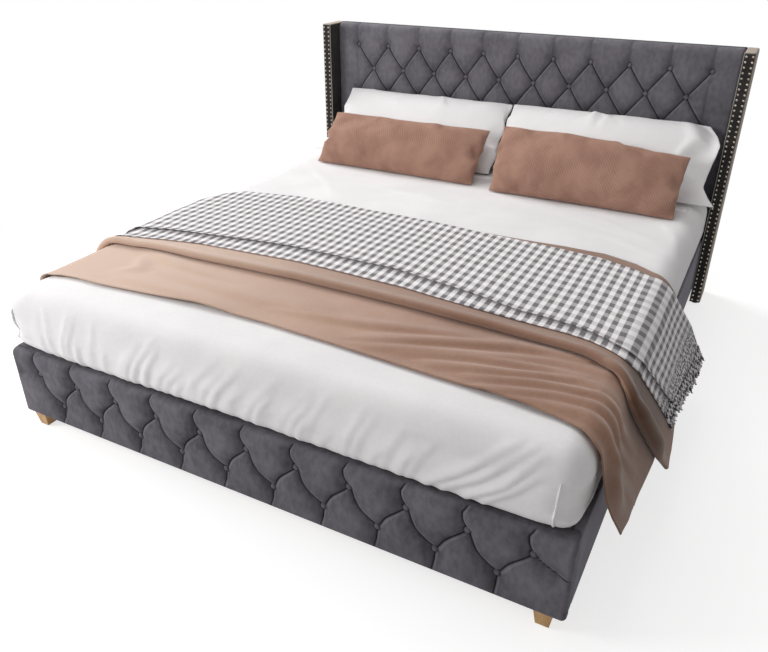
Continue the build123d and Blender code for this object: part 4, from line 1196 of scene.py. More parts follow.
def bedding_ring():
    """Rows of (y, z, outward y, outward z, round towards the sides, place on the unrolled cloth)."""
    rows = []

    def arc(centre_y, centre_z, radius, start, end, count, inset, place):
        for turn in np.radians(np.linspace(start, end, count)):
            ny, nz = math.cos(turn), math.sin(turn)
            rows.append((centre_y + radius * ny, centre_z + radius * nz, ny, nz, inset, place(turn)))

    def run(start, end, count, normal, insets):
        for share in np.linspace(0, 1, count + 2)[1:-1]:
            y, z = start[0] + (end[0] - start[0]) * share, start[1] + (end[1] - start[1]) * share
            rows.append((y, z, normal[0], normal[1], insets(share), z if normal[0] else 9.0))

    foot_y, head_y = bed_foot + top_round, bed_head - top_round
    low_z, high_z = bed_low + low_round, bed_top - top_round
    middle = bed_foot + low_round
    arc(middle, low_z, low_round, 270, 180, 9, low_round, lambda turn: low_z - low_round * (turn - math.pi))
    run((bed_foot, low_z), (bed_foot, high_z), 14, (-1, 0),
        lambda t: low_round + (plan_round - low_round) * math.sin(t * math.pi) ** 0.7
        + (top_round - low_round) * t * (1 - math.sin(t * math.pi)))
    arc(foot_y, high_z, top_round, 180, 90, 13, top_round, lambda turn: high_z + top_round * (math.pi - turn))
    ends = [(foot_y, -0.78, 28), (-0.78, head_y, 110)]
    for start, end, count in ends:
        run((start, bed_top), (end, bed_top), count, (0, 1), lambda t: top_round)
        if end < head_y:
            rows.append((end, bed_top, 0, 1, top_round, 9.0))
    arc(head_y, high_z, top_round, 90, 0, 9, top_round, lambda turn: 9.0)
    run((bed_head, high_z), (bed_head, low_z), 5, (1, 0), lambda t: top_round + (low_round - top_round) * t)
    arc(bed_head - low_round, low_z, low_round, 0, -90, 7, low_round, lambda turn: 9.0)
    run((bed_head - low_round, bed_low), (middle, bed_low), 60, (0, -1), lambda t: low_round)
    return np.array(rows)


ring = bedding_ring()
roll_length = bed_top - top_round + top_round * math.pi / 2
unrolled = np.where((ring[:, 5] > 8) & (ring[:, 3] > 0.99) & (ring[:, 0] < 0.9),
    roll_length + ring[:, 0] - (bed_foot + top_round), ring[:, 5])
print("ring points:", len(ring))

# %% Bedding folds
foot_folds = [
    ([(0.545, 0.3), (0.563, 0.33), (0.665, 0.407), (0.758, 0.485)], 0.007, 0.009, 0.018),
    ([(0.59, 0.3), (0.605, 0.33), (0.698, 0.394), (0.797, 0.487)], 0.006, 0.008, 0.016),
    ([(0.65, 0.3), (0.668, 0.33), (0.751, 0.39), (0.821, 0.475)], 0.007, 0.008, 0.015),
    ([(0.695, 0.3), (0.708, 0.33), (0.778, 0.388), (0.841, 0.45)], 0.005, 0.007, 0.013),
    ([(0.48, 0.44), (0.53, 0.447), (0.641, 0.437), (0.703, 0.458)], 0.004, 0.01, 0.02),
]
top_folds = [
    ([(0.1, 0.5), (0.42, 0.44), (0.7, 0.33)], 0.004, 0.014, 0.03),
    ([(0.3, 0.5), (0.6, 0.42), (0.84, 0.28)], 0.004, 0.012, 0.028),
    ([(0.45, 0.3), (0.66, 0.27), (0.86, 0.16)], 0.0035, 0.012, 0.026),
    ([(-0.5, 0.42), (-0.2, 0.36), (0.1, 0.33)], 0.0035, 0.016, 0.03),
    ([(-0.8, 0.5), (-0.6, 0.34), (-0.5, 0.2)], 0.0035, 0.014, 0.028),
    ([(0.8, 0.52), (0.87, 0.38), (0.9, 0.2)], 0.004, 0.012, 0.022),
]
draw = np.random.default_rng(12)
for place in np.arange(-0.87, 0.5, 0.036):
    start = place + draw.uniform(-0.012, 0.012)
    length, rise = draw.uniform(0.06, 0.17), draw.uniform(0.0022, 0.0056)
    lean = draw.uniform(0.25, 0.6) if place > -0.5 else draw.uniform(-0.3, 0.15)
    bend = start + 0.6 * length * lean
    foot_folds.append(([(start, 0.3), (bend, 0.3 + 0.6 * length),
        (bend + 0.7 * length * lean, 0.3 + length)], rise, 0.009, 0.017))
print("folds:", len(foot_folds) + len(top_folds))

# %% Rings of the cover
def cover_layers():
    """Rings across the bed, shrinking into both sides."""
    inner = np.linspace(-(bed_half - plan_round), bed_half - plan_round, 190)
    turns = np.linspace(0, math.pi / 2, 10)
    caps = [(math.sin(t), 1 - math.cos(t), 0.0) for t in turns]
    caps += [(1.0, 1.0, fill) for fill in (0.35, 0.7, 1.0)]
    y, z, ny, nz, inset = ring[:, 0], ring[:, 1], ring[:, 2], ring[:, 3], ring[:, 4]
    hub_y = np.clip(y, bed_foot + 0.12, bed_head - 0.12)
    hub_z = np.full_like(z, 0.385)

    def side_rings(sign, order):
        for out, shrink, fill in order:
            x = sign * (bed_half - inset + inset * out)
            cap_y, cap_z = y - ny * inset * shrink, z - nz * inset * shrink
            yield np.stack([x, cap_y + (hub_y - cap_y) * fill, cap_z + (hub_z - cap_z) * fill], axis=1)

    middle = [np.stack([np.full_like(y, x), y, z], axis=1) for x in inner]
    return np.array([*side_rings(-1, caps[::-1]), *middle, *side_rings(1, caps)])


print("cover rings ready")

# %% Swell of the cover
def cover_swell(x, y, level, place):
    """How far folds and slack raise the cover. It lies close only under the blanket and the throw."""
    height = 1.35 * ridges(x, np.where(place > 8, -9.0, place), foot_folds)
    height += ridges(x, y, top_folds) * (level > 0.47).astype(float)
    slow = sway(5, x * 4.1, y * 3.7, level * 9)
    free_head = smooth((y - 0.11) / 0.04) * smooth((0.52 - y) / 0.05)
    free = np.maximum(smooth((-0.905 - y) / 0.03), free_head)
    height += 0.0022 * slow * free - 0.003 * (1 - free) * (1 + slow) * 0.3
    covered = smooth((y + 0.905) / 0.02) * (1 - free_head)
    return np.where(covered > 0.5, np.minimum(height, 0), height)


def drawn_in(x, y, level):
    """How far the cover is drawn in under its roll at the foot, and at the two foot corners."""
    belly = 0.018 * smooth((-1.0 - y) / 0.03) * smooth((0.44 - level) / 0.07)
    corner = smooth((-0.78 - x) / 0.12) * smooth((-0.84 - y) / 0.14) * np.exp(-((level - 0.42) / 0.05) ** 2)
    taper = smooth((0.42 - level) / 0.13) * smooth((np.abs(x) - 0.83) / 0.1) * smooth((-0.93 - y) / 0.12)
    move = [0.04 * corner + 0.01 * np.sign(x) * taper, belly + 0.01 * corner - 0.01 * taper, 0 * belly]
    return np.stack(move, axis=1)


print("swell ready")

# %% White bedding
def bedding():
    """The cover as one mesh, its plain form raised along the folds."""
    points = cover_layers()
    faces = grid_faces(*points.shape[:2], loop=True)
    piece = make_piece("white_cover", points, faces, "white_cotton", "dressed_mattress")
    turned_out(piece)
    normals = np.empty(len(piece.data.vertices) * 3)
    piece.data.vertex_normals.foreach_get("vector", normals)
    flat = points.reshape(-1, 3)
    x, y = flat[:, 0], flat[:, 1]
    height = cover_swell(x, y, flat[:, 2], np.tile(unrolled, len(points)))
    flat = flat + normals.reshape(-1, 3) * height[:, None]
    flat = flat - drawn_in(x, y, flat[:, 2])
    outside = (np.abs(flat[:, 0]) > 0.9) | (flat[:, 1] < -1.02)
    flat[:, 2] = np.maximum(flat[:, 2], np.where(outside, bed_low, flat[:, 2]))
    piece.data.vertices.foreach_set("co", flat.ravel())
    piece.data.update()
    return piece


white_cover = bedding()
place = np.array([v.co for v in white_cover.data.vertices])
store(white_cover, "cloth", np.stack([place[:, 0], place[:, 1] + place[:, 2], 0 * place[:, 0]], axis=1))
shape = bmesh.new()
shape.from_mesh(white_cover.data)
bmesh.ops.remove_doubles(shape, verts=shape.verts, dist=0.0002)
low_faces = [
    f for f in shape.faces
    if f.calc_center_median().z < 0.32 and abs(f.calc_center_median().x) < 0.9
    and -1.021 < f.calc_center_median().y < 0.979
]
bmesh.ops.delete(shape, geom=low_faces, context="FACES")
shape.to_mesh(white_cover.data)
shape.free()
white_cover.data.shade_smooth()
print("bedding points:", len(white_cover.data.vertices))

# %% [markdown]
# ## Corner seams
# The fitted cover is sewn up at both foot corners, and the seam stands out as a thin stitched ridge.
# It could be a line in the material. As a small tube laid on the cover, placed by casting rays at it,
# it also catches the light.

# %% Corner seams
cover_mesh = white_cover.data
surface = BVHTree.FromPolygons([v.co for v in cover_mesh.vertices],
    [list(f.vertices) for f in cover_mesh.polygons])
seam_rings, seam_spokes = 46, 10
for side, name, foot_x in ((-1, "left", 0.905), (1, "right", 0.868)):
    points = []
    for i, z in enumerate(np.linspace(0.302, 0.436, seam_rings)):
        start = Vector((side * (foot_x + 0.02 * (z - 0.3)), -1.3, z))
        hit = surface.ray_cast(start, Vector((0, 1, 0)))[0]
        fade = math.sin(min(i / 6, (seam_rings - 1 - i) / 10, 1) * math.pi / 2)
        stitch = 1 + 0.12 * math.sin(i * 2.4)
        for j in range(seam_spokes):
            angle = math.tau * j / seam_spokes
            out = -0.0018 - 0.005 * fade * stitch * math.cos(angle)
            points.append(hit + Vector((0.0034 * fade * stitch * math.sin(angle), out, 0)))
    seam = make_piece(
        "cover_corner_seam_" + name, [tuple(p) for p in points], tube_faces(seam_rings, seam_spokes),
        "white_cotton", "dressed_mattress",
    )
    turned_out(seam)
print("corner seams:", len(points))

# %% [markdown]
# ## Tuck
# The cover's hem goes down between mattress and rails. It is a band of cloth round the mattress with
# a slight ripple, and it shows when the mattress is lifted.

# %% Tuck
def tuck():
    """The cover's hem, tucked down between mattress and rails."""
    loop = rounded_ring(-0.9012, 0.9012, -1.0222, 0.9797, (0.006,) * 4, (60, 60, 60, 60))
    levels = np.linspace(0.315, 0.2374, 6)
    points = []
    for z in levels:
        ripple = 0.0005 * np.sin(loop[:, 0] * 70 + loop[:, 1] * 63) * (0.315 - z) / 0.08
        hub = np.array([0.0, -0.0212])
        outward = (loop - hub) / np.linalg.norm(loop - hub, axis=1, keepdims=True)
        points.append(np.column_stack([loop + outward * ripple[:, None], np.full(len(loop), z)]))
    return np.array(points)


tuck_points = tuck()
tuck_faces = grid_faces(*tuck_points.shape[:2], loop=True)
tuck_piece = make_piece("white_cover_tuck", tuck_points, tuck_faces, "white_cotton", "dressed_mattress")
flat = tuck_points.reshape(-1, 3)
store(tuck_piece, "cloth", flat[:, [0, 2, 1]])
thickened(tuck_piece, 0.0012)
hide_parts("white_bedding")
print("tuck points:", len(flat))

# %% [markdown]
# ## Mattress
# The mattress hides under the cover, but the part lifts out, so it gets its own ticking, a piped edge
# top and bottom, and a slightly bellied border.

# %% Mattress
def mattress_shape():
    """Rounded ring in plan, repeated up the border and closed over the top and bottom panels."""
    low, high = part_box("mattress")
    levels = [
        (0.0, 0.022), (0.0, 0.012), (0.002, 0.005), (0.006, 0.0), (0.011, 0.0018), (0.016, 0.0),
        (0.022, 0.002), (0.06, 0.0005), (0.125, 0.0), (0.19, 0.0005), (0.228, 0.002), (0.234, 0.0),
        (0.239, 0.0018), (0.244, 0.0), (0.248, 0.005), (0.25, 0.012), (0.25, 0.022),
    ]
    rings = []
    for up, inset in levels:
        loop = rounded_ring(low[0] + inset, high[0] - inset, low[1] + inset, high[1] - inset,
            (0.05 - min(inset, 0.02),) * 4, (60, 60, 60, 60))
        rings.append(np.column_stack([loop, np.full(len(loop), low[2] + up)]))
    hub = np.array([(low[0] + high[0]) / 2, (low[1] + high[1]) / 2])
    for index, level in ((0, low[2]), (-1, high[2])):
        last = rings[index][:, :2]
        closing = [np.column_stack([hub + (last - hub) * share, np.full(len(last), level)])
            for share in (0.85, 0.6, 0.3, 0.01)]
        rings = closing[::-1] + rings if index == 0 else rings + closing
    return np.array(rings)


rings = mattress_shape()
ticking_case = make_piece("mattress_ticking", rings, tube_faces(*rings.shape[:2]), "ticking",
    "dressed_mattress")
turned_out(ticking_case)
flat = rings.reshape(-1, 3)
store(ticking_case, "cloth", np.stack([flat[:, 0], flat[:, 1] + flat[:, 2], 0 * flat[:, 0]], axis=1))
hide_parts("mattress")
print("mattress points:", len(flat))

# %% [markdown]
# ## Cloths over the bed
# The blanket and the throw lie over the same form: flat on top, round at the bed's shoulders, flared
# where they hang. So both are laid out in the cloth's own measures, across and along, and one
# function puts each point on the bed. They are folded, which makes two or three layers: the same
# sheet runs to a fold, turns and comes back a little higher, never through itself. A simulation would
# give softer folds but would not stop at the lines the photo shows, so the edges are listed.

# %% Form under the cloths
hang_flare = math.radians(21)
shoulder_turn = math.pi / 2 - hang_flare
shoulder_x, shoulder_round = 0.868, 0.06
shoulder_length = shoulder_round * shoulder_turn


def over_bed(across, along, level):
    """A point of cloth at a height above the bedding, and the direction out of the bed there."""
    side, reach = np.sign(across), np.abs(across)
    radius = shoulder_round + level
    turn = np.clip((reach - shoulder_x) / shoulder_round, 0, shoulder_turn)
    past = np.maximum(reach - shoulder_x - shoulder_length, 0)
    x = np.minimum(reach, shoulder_x) + radius * np.sin(turn) + past * math.sin(hang_flare)
    z = bed_top - shoulder_round + radius * np.cos(turn) - past * math.cos(hang_flare)
    return np.stack([side * x, along, z], axis=-1)


print("bed form ready")

# %% Edges of the cloths
# The edges below are in millimetres from the foot end of the bed, which lies this far from its middle.
row_zero = 1.09125


def edge_line(places):
    """Where an edge of the cloth lies, in metres along the bed, for any place across it."""
    table = np.array(sorted(places), float)

    def edge(across):
        return np.interp(across, table[:, 0], table[:, 1] / 1000 - row_zero)
    return edge


def hem_reach(table):
    """How far across the cloth reaches at a place along the bed."""
    table = np.array(table, float)
    return lambda along: np.interp(along, table[:, 0] / 1000 - row_zero, table[:, 1])


tan_front = edge_line([
    (-1.25, 235), (-1.1, 200), (-1.0, 176), (-0.91, 160), (-0.864, 162), (-0.83, 176), (-0.78, 184),
    (-0.669, 186), (-0.315, 222), (-0.05, 224), (0.166, 214), (0.478, 194), (0.666, 186),
    (0.719, 180), (0.819, 165), (0.878, 146), (0.908, 129), (0.939, 126), (0.973, 112), (1.036, 90),
    (1.086, 96), (1.15, 116), (1.26, 150),
])
tan_fold = edge_line([
    (-1.26, 520), (-1.1, 440), (-1.0, 415), (-0.915, 444), (-0.85, 458), (-0.744, 468),
    (-0.514, 484), (-0.126, 505), (0.236, 503), (0.504, 492), (0.614, 484), (0.683, 477),
    (0.751, 468), (0.806, 459), (0.855, 440), (0.891, 415), (0.916, 391), (0.938, 378),
    (0.997, 396), (1.052, 422), (1.143, 472), (1.185, 494), (1.256, 548),
])
throw_front = edge_line([
    (-1.2, 490), (-1.05, 456), (-0.975, 452), (-0.896, 478), (-0.739, 536), (-0.6, 570),
    (-0.191, 602), (0.186, 592), (0.45, 560), (0.594, 546), (0.729, 541), (0.796, 529),
    (0.847, 508), (0.884, 486), (0.909, 481), (0.952, 506), (1.024, 558), (1.104, 610), (1.16, 645),
    (1.2, 668),
])
throw_upper = edge_line([
    (-1.2, 575), (-1.05, 538), (-0.963, 540), (-0.895, 572), (-0.768, 612), (-0.632, 634),
    (-0.45, 668), (-0.262, 690), (0.133, 685), (0.4, 640), (0.578, 598), (0.647, 591), (0.718, 581),
    (0.777, 570), (0.838, 547), (0.88, 524), (0.906, 522), (0.948, 551), (1.019, 610), (1.097, 669),
    (1.138, 711), (1.2, 760),
])
throw_back = edge_line([
    (-1.2, 930), (-1.05, 900), (-0.95, 905), (-0.885, 950), (-0.843, 1045), (-0.788, 1090),
    (-0.56, 1142), (-0.091, 1142), (0.323, 1122), (0.547, 1108), (0.688, 1094), (0.8, 1055),
    (0.86, 1022), (0.92, 1015), (1.035, 1095), (1.105, 1150), (1.2, 1180),
])
tan_back = edge_line([
    (-1.26, 955), (-1.05, 925), (-0.95, 930), (-0.885, 972), (-0.843, 1062), (-0.788, 1102),
    (-0.56, 1150), (-0.091, 1148), (0.1, 1146), (0.323, 1146), (0.547, 1158), (0.688, 1158),
    (0.8, 1118), (0.86, 1078), (0.92, 1050), (1.035, 1090), (1.105, 1130), (1.26, 1160),
])
lower_hem = hem_reach([(90, 1.12), (109, 1.137), (219, 1.156), (338, 1.168), (489, 1.188), (700, 1.2),
    (1200, 1.18)])
upper_hem = hem_reach([(500, 1.25), (548, 1.256), (630, 1.25), (690, 1.235), (800, 1.2), (1200, 1.18)])
throw_hem = hem_reach([(600, 1.135), (720, 1.142), (806, 1.154), (932, 1.172), (1072, 1.188), (1200, 1.19)])
print("edges set")

# %% Folds of the blanket
def milli(line):
    """A fold line from millimetres of the measured photo to metres in the bed's frame."""
    return [(x / 1000, y / 1000 - row_zero) for x, y in line]


blanket_folds = [
    (milli(line), rise * 1.45, steep * 1.25, long * 1.25)
    for line, rise, steep, long in (
        ([(236, 273), (463, 360), (625, 420), (807, 440)], 0.012, 0.014, 0.030),
        ([(256, 240), (533, 325), (746, 396), (866, 400)], 0.009, 0.013, 0.026),
        ([(359, 256), (562, 318), (827, 362)], 0.010, 0.013, 0.024),
        ([(449, 238), (666, 286), (815, 334), (903, 318)], 0.011, 0.013, 0.024),
        ([(571, 228), (724, 268), (875, 286), (960, 270), (1060, 330)], 0.012, 0.013, 0.024),
        ([(622, 196), (789, 240), (894, 244), (980, 225), (1100, 300)], 0.011, 0.013, 0.024),
        ([(702, 192), (860, 200), (960, 180), (1060, 205), (1140, 240)], 0.010, 0.014, 0.026),
        ([(-644, 253), (-399, 243), (-217, 237)], 0.008, 0.018, 0.040),
        ([(-724, 454), (-523, 403), (-300, 390)], 0.008, 0.016, 0.034),
        ([(-560, 340), (-150, 325), (150, 360)], 0.008, 0.022, 0.050),
        ([(-100, 300), (200, 345), (420, 400), (600, 430)], 0.008, 0.014, 0.030),
        ([(-700, 400), (-650, 330), (-690, 290)], 0.006, 0.014, 0.028),
    )
]


def under_folds(across, along):
    """Height that all layers over the bed share, less of it where they hang."""
    slow = 0.0018 * (1 + sway(11, across * 4.7, along * 6.1))
    share = 1 - 0.55 * smooth((np.abs(across) - 0.95) / 0.1)
    return share * ridges(across, along, blanket_folds) + slow


def side_swing(across, along):
    """How far the hanging corner bellies out behind its front edge."""
    hang = smooth((np.abs(across) - 0.93) / 0.1) * (1 - 0.85 * smooth((np.abs(across) - 1.03) / 0.1))
    behind = along - tan_front(across)
    return 0.02 * hang * np.exp(-((behind - 0.06) / 0.04) ** 2) - 0.006 * hang * np.exp(-(behind / 0.02) ** 2)


print("blanket folds:", len(blanket_folds))

# %% Folded sheets
turn_rows = 6


def folded_sheet(columns, hem_shares, runs):
    """Points and cloth places of a sheet that runs back and forth. A run is start edge, end edge, rows,
    hem, and a level function of (across, along, distance from its start, distance to its end)."""
    rows_points, rows_cloth = [], []
    travelled = np.zeros(len(columns))
    previous = None
    for start, end, count, hem, level in runs:
        for share in np.linspace(0, 1, count):
            first, last = start(columns), end(columns)
            along = first + (last - first) * share
            stretch = np.where(np.abs(columns) > 0.9, (hem(along) - 0.9) / (hem_shares - 0.9), 1.0)
            across = (np.sign(columns)
                * np.where(np.abs(columns) > 0.9, 0.9 + (np.abs(columns) - 0.9) * stretch, np.abs(columns)))
            first, last = start(across), end(across)
            along = first + (last - first) * share
            height = level(across, along, np.abs(along - first), np.abs(last - along))
            points = over_bed(across, along, height)
            if previous is not None and share == 0:
                centre = (previous + points) / 2
                spread = (points - previous) / 2
                size = np.linalg.norm(spread, axis=1, keepdims=True)
                outward = np.zeros_like(points)
                outward[:, 1] = direction
                for angle in np.linspace(0, math.pi, turn_rows + 2)[1:-1]:
                    bent = centre - spread * math.cos(angle) + outward * size * math.sin(angle)
                    travelled = travelled + size[:, 0] * math.pi / (turn_rows + 1)
                    rows_points.append(bent)
                    rows_cloth.append(np.column_stack([across, travelled, 0 * across]))
                travelled = travelled + size[:, 0] * math.pi / (turn_rows + 1)
            elif previous is not None:
                travelled = travelled + np.linalg.norm(points - previous, axis=1)
            rows_points.append(points)
            rows_cloth.append(np.column_stack([across, travelled, 0 * across]))
            previous = points
        direction = 1.0 if (end(np.zeros(1)) > start(np.zeros(1)))[0] else -1.0
    return np.array(rows_points), np.array(rows_cloth)


def cloth_columns(half, step):
    """Places across the cloth, closer together over the shoulders."""
    fine_from, fine = 0.8, step / 2
    middle = np.arange(0, fine_from, step)
    side = np.arange(fine_from, half + fine * 0.5, fine)
    right = np.concatenate([middle, side[:-1], [half]])
    return np.concatenate([-right[:0:-1], right])


print("folded sheets can be made")

# %% [markdown]
# ## Tan blanket
# The blanket is brushed wool in three layers: from its front hem to the back, forward again to a soft
# roll, and back once more under the throw. Each layer only needs its level over the bedding.

# %% Tan blanket
def tan_low(across, along, from_start, to_end):
    """First layer: on the bedding, its front hem a little puffed."""
    puff = 0.004 * np.exp(-from_start / 0.02)
    return 0.0032 + under_folds(across, along) + side_swing(across, along) + puff


def tan_middle(across, along, from_start, to_end):
    """Second layer, running back to the front fold."""
    return 0.0095 + under_folds(across, along) + side_swing(across, along) + 0.001 * np.exp(-to_end / 0.03)


def roll(across, from_fold):
    """The upper layer's height near its front fold: a soft roll, fatter where it hangs at the corner."""
    tip = smooth((np.abs(across) - 1.1) / 0.13)
    hang = smooth((across - 0.9) / 0.1) * (1 - tip)
    fat = 0.02 * hang * np.exp(-((from_fold - 0.012) / 0.03) ** 2)
    return 0.016 * (1 - 0.8 * tip) * np.exp(-(from_fold / 0.035) ** 1.6) + fat


def tan_upper(across, along, from_start, to_end):
    """Third layer: rises from a rolled fold."""
    return 0.0155 + roll(across, from_start) + under_folds(across, along) + side_swing(across, along)


blanket_half, low_rows, middle_rows = 1.256, 150, 70
columns = cloth_columns(blanket_half, 0.012)
blanket_points, blanket_cloth = folded_sheet(columns, blanket_half, [
    (tan_front, tan_back, low_rows, lower_hem, tan_low),
    (tan_back, tan_fold, middle_rows, upper_hem, tan_middle),
    (tan_fold, tan_back, 90, upper_hem, tan_upper),
])
blanket = make_piece("tan_wool_blanket", blanket_points, grid_faces(*blanket_points.shape[:2]),
    "tan_blanket", "dressed_mattress")
store(blanket, "cloth", blanket_cloth)
# Painted shade, darker towards the right, on the turned-over upper layer and where the cloth hangs; painted
# light, paler towards the window on the left.
places = blanket_cloth[:, :, 0]
rolled_fold_shade = smooth((places - 0.82) / 0.12) * (1 - 0.5 * smooth((places - 1.1) / 0.14))
hanging = 0.2 * smooth((places + 0.1) / 0.8) + 0.35 * smooth((places - 0.92) / 0.1)
upper_layer_shade = np.maximum(0.85 * rolled_fold_shade, 0.38 * smooth((places + 0.7) / 1.2))
past_roll = low_rows + turn_rows + middle_rows + turn_rows // 2
store(blanket, "nap_and_painted_light", np.where(np.arange(len(places))[:, None] >= past_roll, upper_layer_shade, hanging))
store(blanket, "painted_light", smooth((0.6 - places) / 1.5))
thickened(blanket, 0.0036)
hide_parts("tan_blanket")

# %% [markdown]
# ## Gingham throw
# The throw is folded double on the blanket.

# %% Gingham throw
def on_blanket(across, along):
    """Level of the blanket's top under the throw."""
    from_fold = np.abs(along - tan_fold(across))
    return 0.0155 + roll(across, from_fold) + 0.0018 + side_swing(across, along) + under_folds(across, along)


def throw_low(across, along, from_start, to_end):
    """Lower layer of the throw, on the blanket."""
    return on_blanket(across, along) + 0.0022 + 0.002 * np.exp(-from_start / 0.015)


def throw_high(across, along, from_start, to_end):
    """Upper layer of the throw; its front edge stands up a little."""
    crumple = 0.0013 * (1 + sway(23, across * 12, along * 15))
    return on_blanket(across, along) + 0.0062 + crumple + 0.005 * np.exp(-(to_end / 0.014) ** 1.5)


throw_half, under_rows = 1.19, 60
columns = cloth_columns(throw_half, 0.011)
throw_points, throw_cloth = folded_sheet(columns, throw_half, [
    (throw_front, throw_back, under_rows, throw_hem, throw_low),
    (throw_back, throw_upper, 56, throw_hem, throw_high),
])
throw = make_piece("checked_throw", throw_points, grid_faces(*throw_points.shape[:2]), "gingham",
    "dressed_mattress")
shifts = (-0.06, -0.03, 0.0, 0.03, 0.06)
nearby = np.mean([throw_upper(throw_cloth[:, :, 0] + shift) for shift in shifts], axis=0)
from_edge = throw_points[:, :, 1] - nearby
lower_layer = np.arange(len(throw_cloth))[:, None] < under_rows + turn_rows // 2
throw_cloth[:, :, 1] = np.where(lower_layer, 1.2 - from_edge, from_edge)
store(throw, "cloth", throw_cloth)
thickened(throw, 0.0022)
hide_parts("gingham_throw")

# %% [markdown]
# ## Fringe
# The throw's cut ends are knotted into a fringe of twisted yarns. Each tassel is two plies wound round
# each other, hung from the hem, a little ragged. They are one mesh that belongs to the throw's sheet.

# %% Fringe
def fringe():
    """Twisted two-ply tassels along both hems, on both layers."""
    draw = np.random.default_rng(4)
    points, faces, plies = [], [], []
    spokes, steps = 5, 9
    for side in (0, -1):
        hem = throw_points[:, side, :]
        inner = throw_points[:, 3 if side == 0 else -4, :]
        spans = np.linalg.norm(np.diff(hem, axis=0), axis=1)
        passed = np.concatenate([[0], np.cumsum(spans)])
        for place in np.arange(0.004, passed[-1] - 0.003, 0.008):
            root = np.array([np.interp(place, passed, hem[:, k]) for k in range(3)])
            above = np.array([np.interp(place, passed, inner[:, k]) for k in range(3)])
            fall = root - above
            fall /= np.linalg.norm(fall)
            length = 0.05 + 0.032 * draw.random()
            drift = np.array([0.0, draw.uniform(-0.018, 0.018), 0.0])
            out = np.array([np.sign(root[0]) * draw.uniform(-0.002, 0.006), 0.0, 0.0])
            phase = draw.uniform(0, math.tau)
            for ply in (0, 1):
                start = len(points)
                for i in range(steps + 1):
                    t = i / steps
                    core = (root - fall * 0.004 + fall * length * t + (drift + out) * t * t
                        + np.array([0, 0, -0.004]) * t * t)
                    turn = phase + ply * math.pi + t * 15
                    core = core + 0.0022 * np.array([math.cos(turn), math.sin(turn), 0.0])
                    radius = 0.0033 * (1 - 0.45 * max(t - 0.8, 0) / 0.2)
                    for j in range(spokes):
                        angle = math.tau * j / spokes
                        points.append(core + radius
                            * np.array([math.cos(angle), math.sin(angle), 0.25 * math.sin(angle)]))
                        plies.append(float((i // 3 + int(place * 431)) % 2))
                faces.extend(grid_faces(steps + 1, spokes, start, loop=True))
                faces.append(tuple(range(start + steps * spokes, start + (steps + 1) * spokes)))
    return points, faces, plies


points, faces, plies = fringe()
throw_tassels = make_piece("throw_tassels", points, faces, "fringe_yarn", "dressed_mattress")
store(throw_tassels, "ply", plies)
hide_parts("throw_fringe")
print("fringe points:", len(points))

# %% [markdown]
# ## Pillows and cushions
# A pillow is two flat panels sewn round the edge and filled. So each one starts as two flat grids that
# share their border, and cloth simulation with air pressure and no gravity blows it up. The cloth
# can't stretch much, so it wrinkles at the seam and pulls into ears at the corners, as real cases do.
# The result is fixed into the mesh, scaled to the CAD solid's size, leaned back and pressed against
# what it touches.

# %% Sewn case
def sewn_case(width, height, step):
    """Two panels joined at the border, a little apart. Returns points, faces and cloth places."""
    nx, ny = int(round(width / step)), int(round(height / step))
    index, points, faces, cloth = {}, [], [], []
    for layer in (0, 1):
        for i in range(nx + 1):
            for j in range(ny + 1):
                u, v = 2 * i / nx - 1, 2 * j / ny - 1
                border = i in (0, nx) or j in (0, ny)
                if border and layer == 1:
                    index[layer, i, j] = index[0, i, j]
                    continue
                swell = 0.0 if border else 0.006 + 0.012 * (1 - u * u) * (1 - v * v)
                index[layer, i, j] = len(points)
                points.append((u * (width / 2), swell * (1 if layer else -1), v * (height / 2)))
                cloth.append((u * width / 2, v * height / 2, 0.0))
        for i in range(nx):
            for j in range(ny):
                quad = [index[layer, i, j], index[layer, i + 1, j], index[layer, i + 1, j + 1],
                    index[layer, i, j + 1]]
                faces.append(quad if layer == 0 else quad[::-1])
    return np.array(points), faces, np.array(cloth), (nx, ny)


print("panels can be sewn")


sim_frames, cloth_stiffness = 24, 12.0


def blown_up(name, points, faces, pressure):
    """The case after the cloth simulation."""
    mesh = bpy.data.meshes.new(name + "_start")
    mesh.from_pydata(points.tolist(), [], faces)
    case = bpy.data.objects.new(name + "_start", mesh)
    scene.collection.objects.link(case)
    cloth = case.modifiers.new("air", "CLOTH")
    settings = cloth.settings
    settings.use_pressure = True
    settings.uniform_pressure_force = pressure
    settings.effector_weights.gravity = 0
    settings.tension_stiffness = settings.compression_stiffness = cloth_stiffness
    settings.shear_stiffness = cloth_stiffness * 0.4
    settings.bending_stiffness = 0.6
    settings.quality = 5
    settings.mass = 0.25
    settings.air_damping = 4.0
    cloth.collision_settings.use_self_collision = False
    cloth.point_cache.frame_start, cloth.point_cache.frame_end = 1, sim_frames
    for frame_number in range(1, sim_frames + 1):
        scene.frame_set(frame_number)
    shaped = case.evaluated_get(bpy.context.evaluated_depsgraph_get()).to_mesh()
    result = np.array([v.co for v in shaped.vertices])
    scene.frame_set(1)
    bpy.data.objects.remove(case, do_unlink=True)
    return result


print("cases can be sewn")

# %% [markdown]
# ## Seams
# Real cases have straight seams that droop a little between the corners, while blown-up ones are
# pinched and wavy. So the seams are moved to their lines, cloth that bulged past them is drawn back,
# and the long edges are smoothed. Only the short ends keep soft gathers.

# %% Straight edges
def held_in(share):
    """Cloth that bulges past its seam is drawn back to it."""
    return share - 0.85 * np.sign(share) * np.maximum(np.abs(share) - 1, 0)


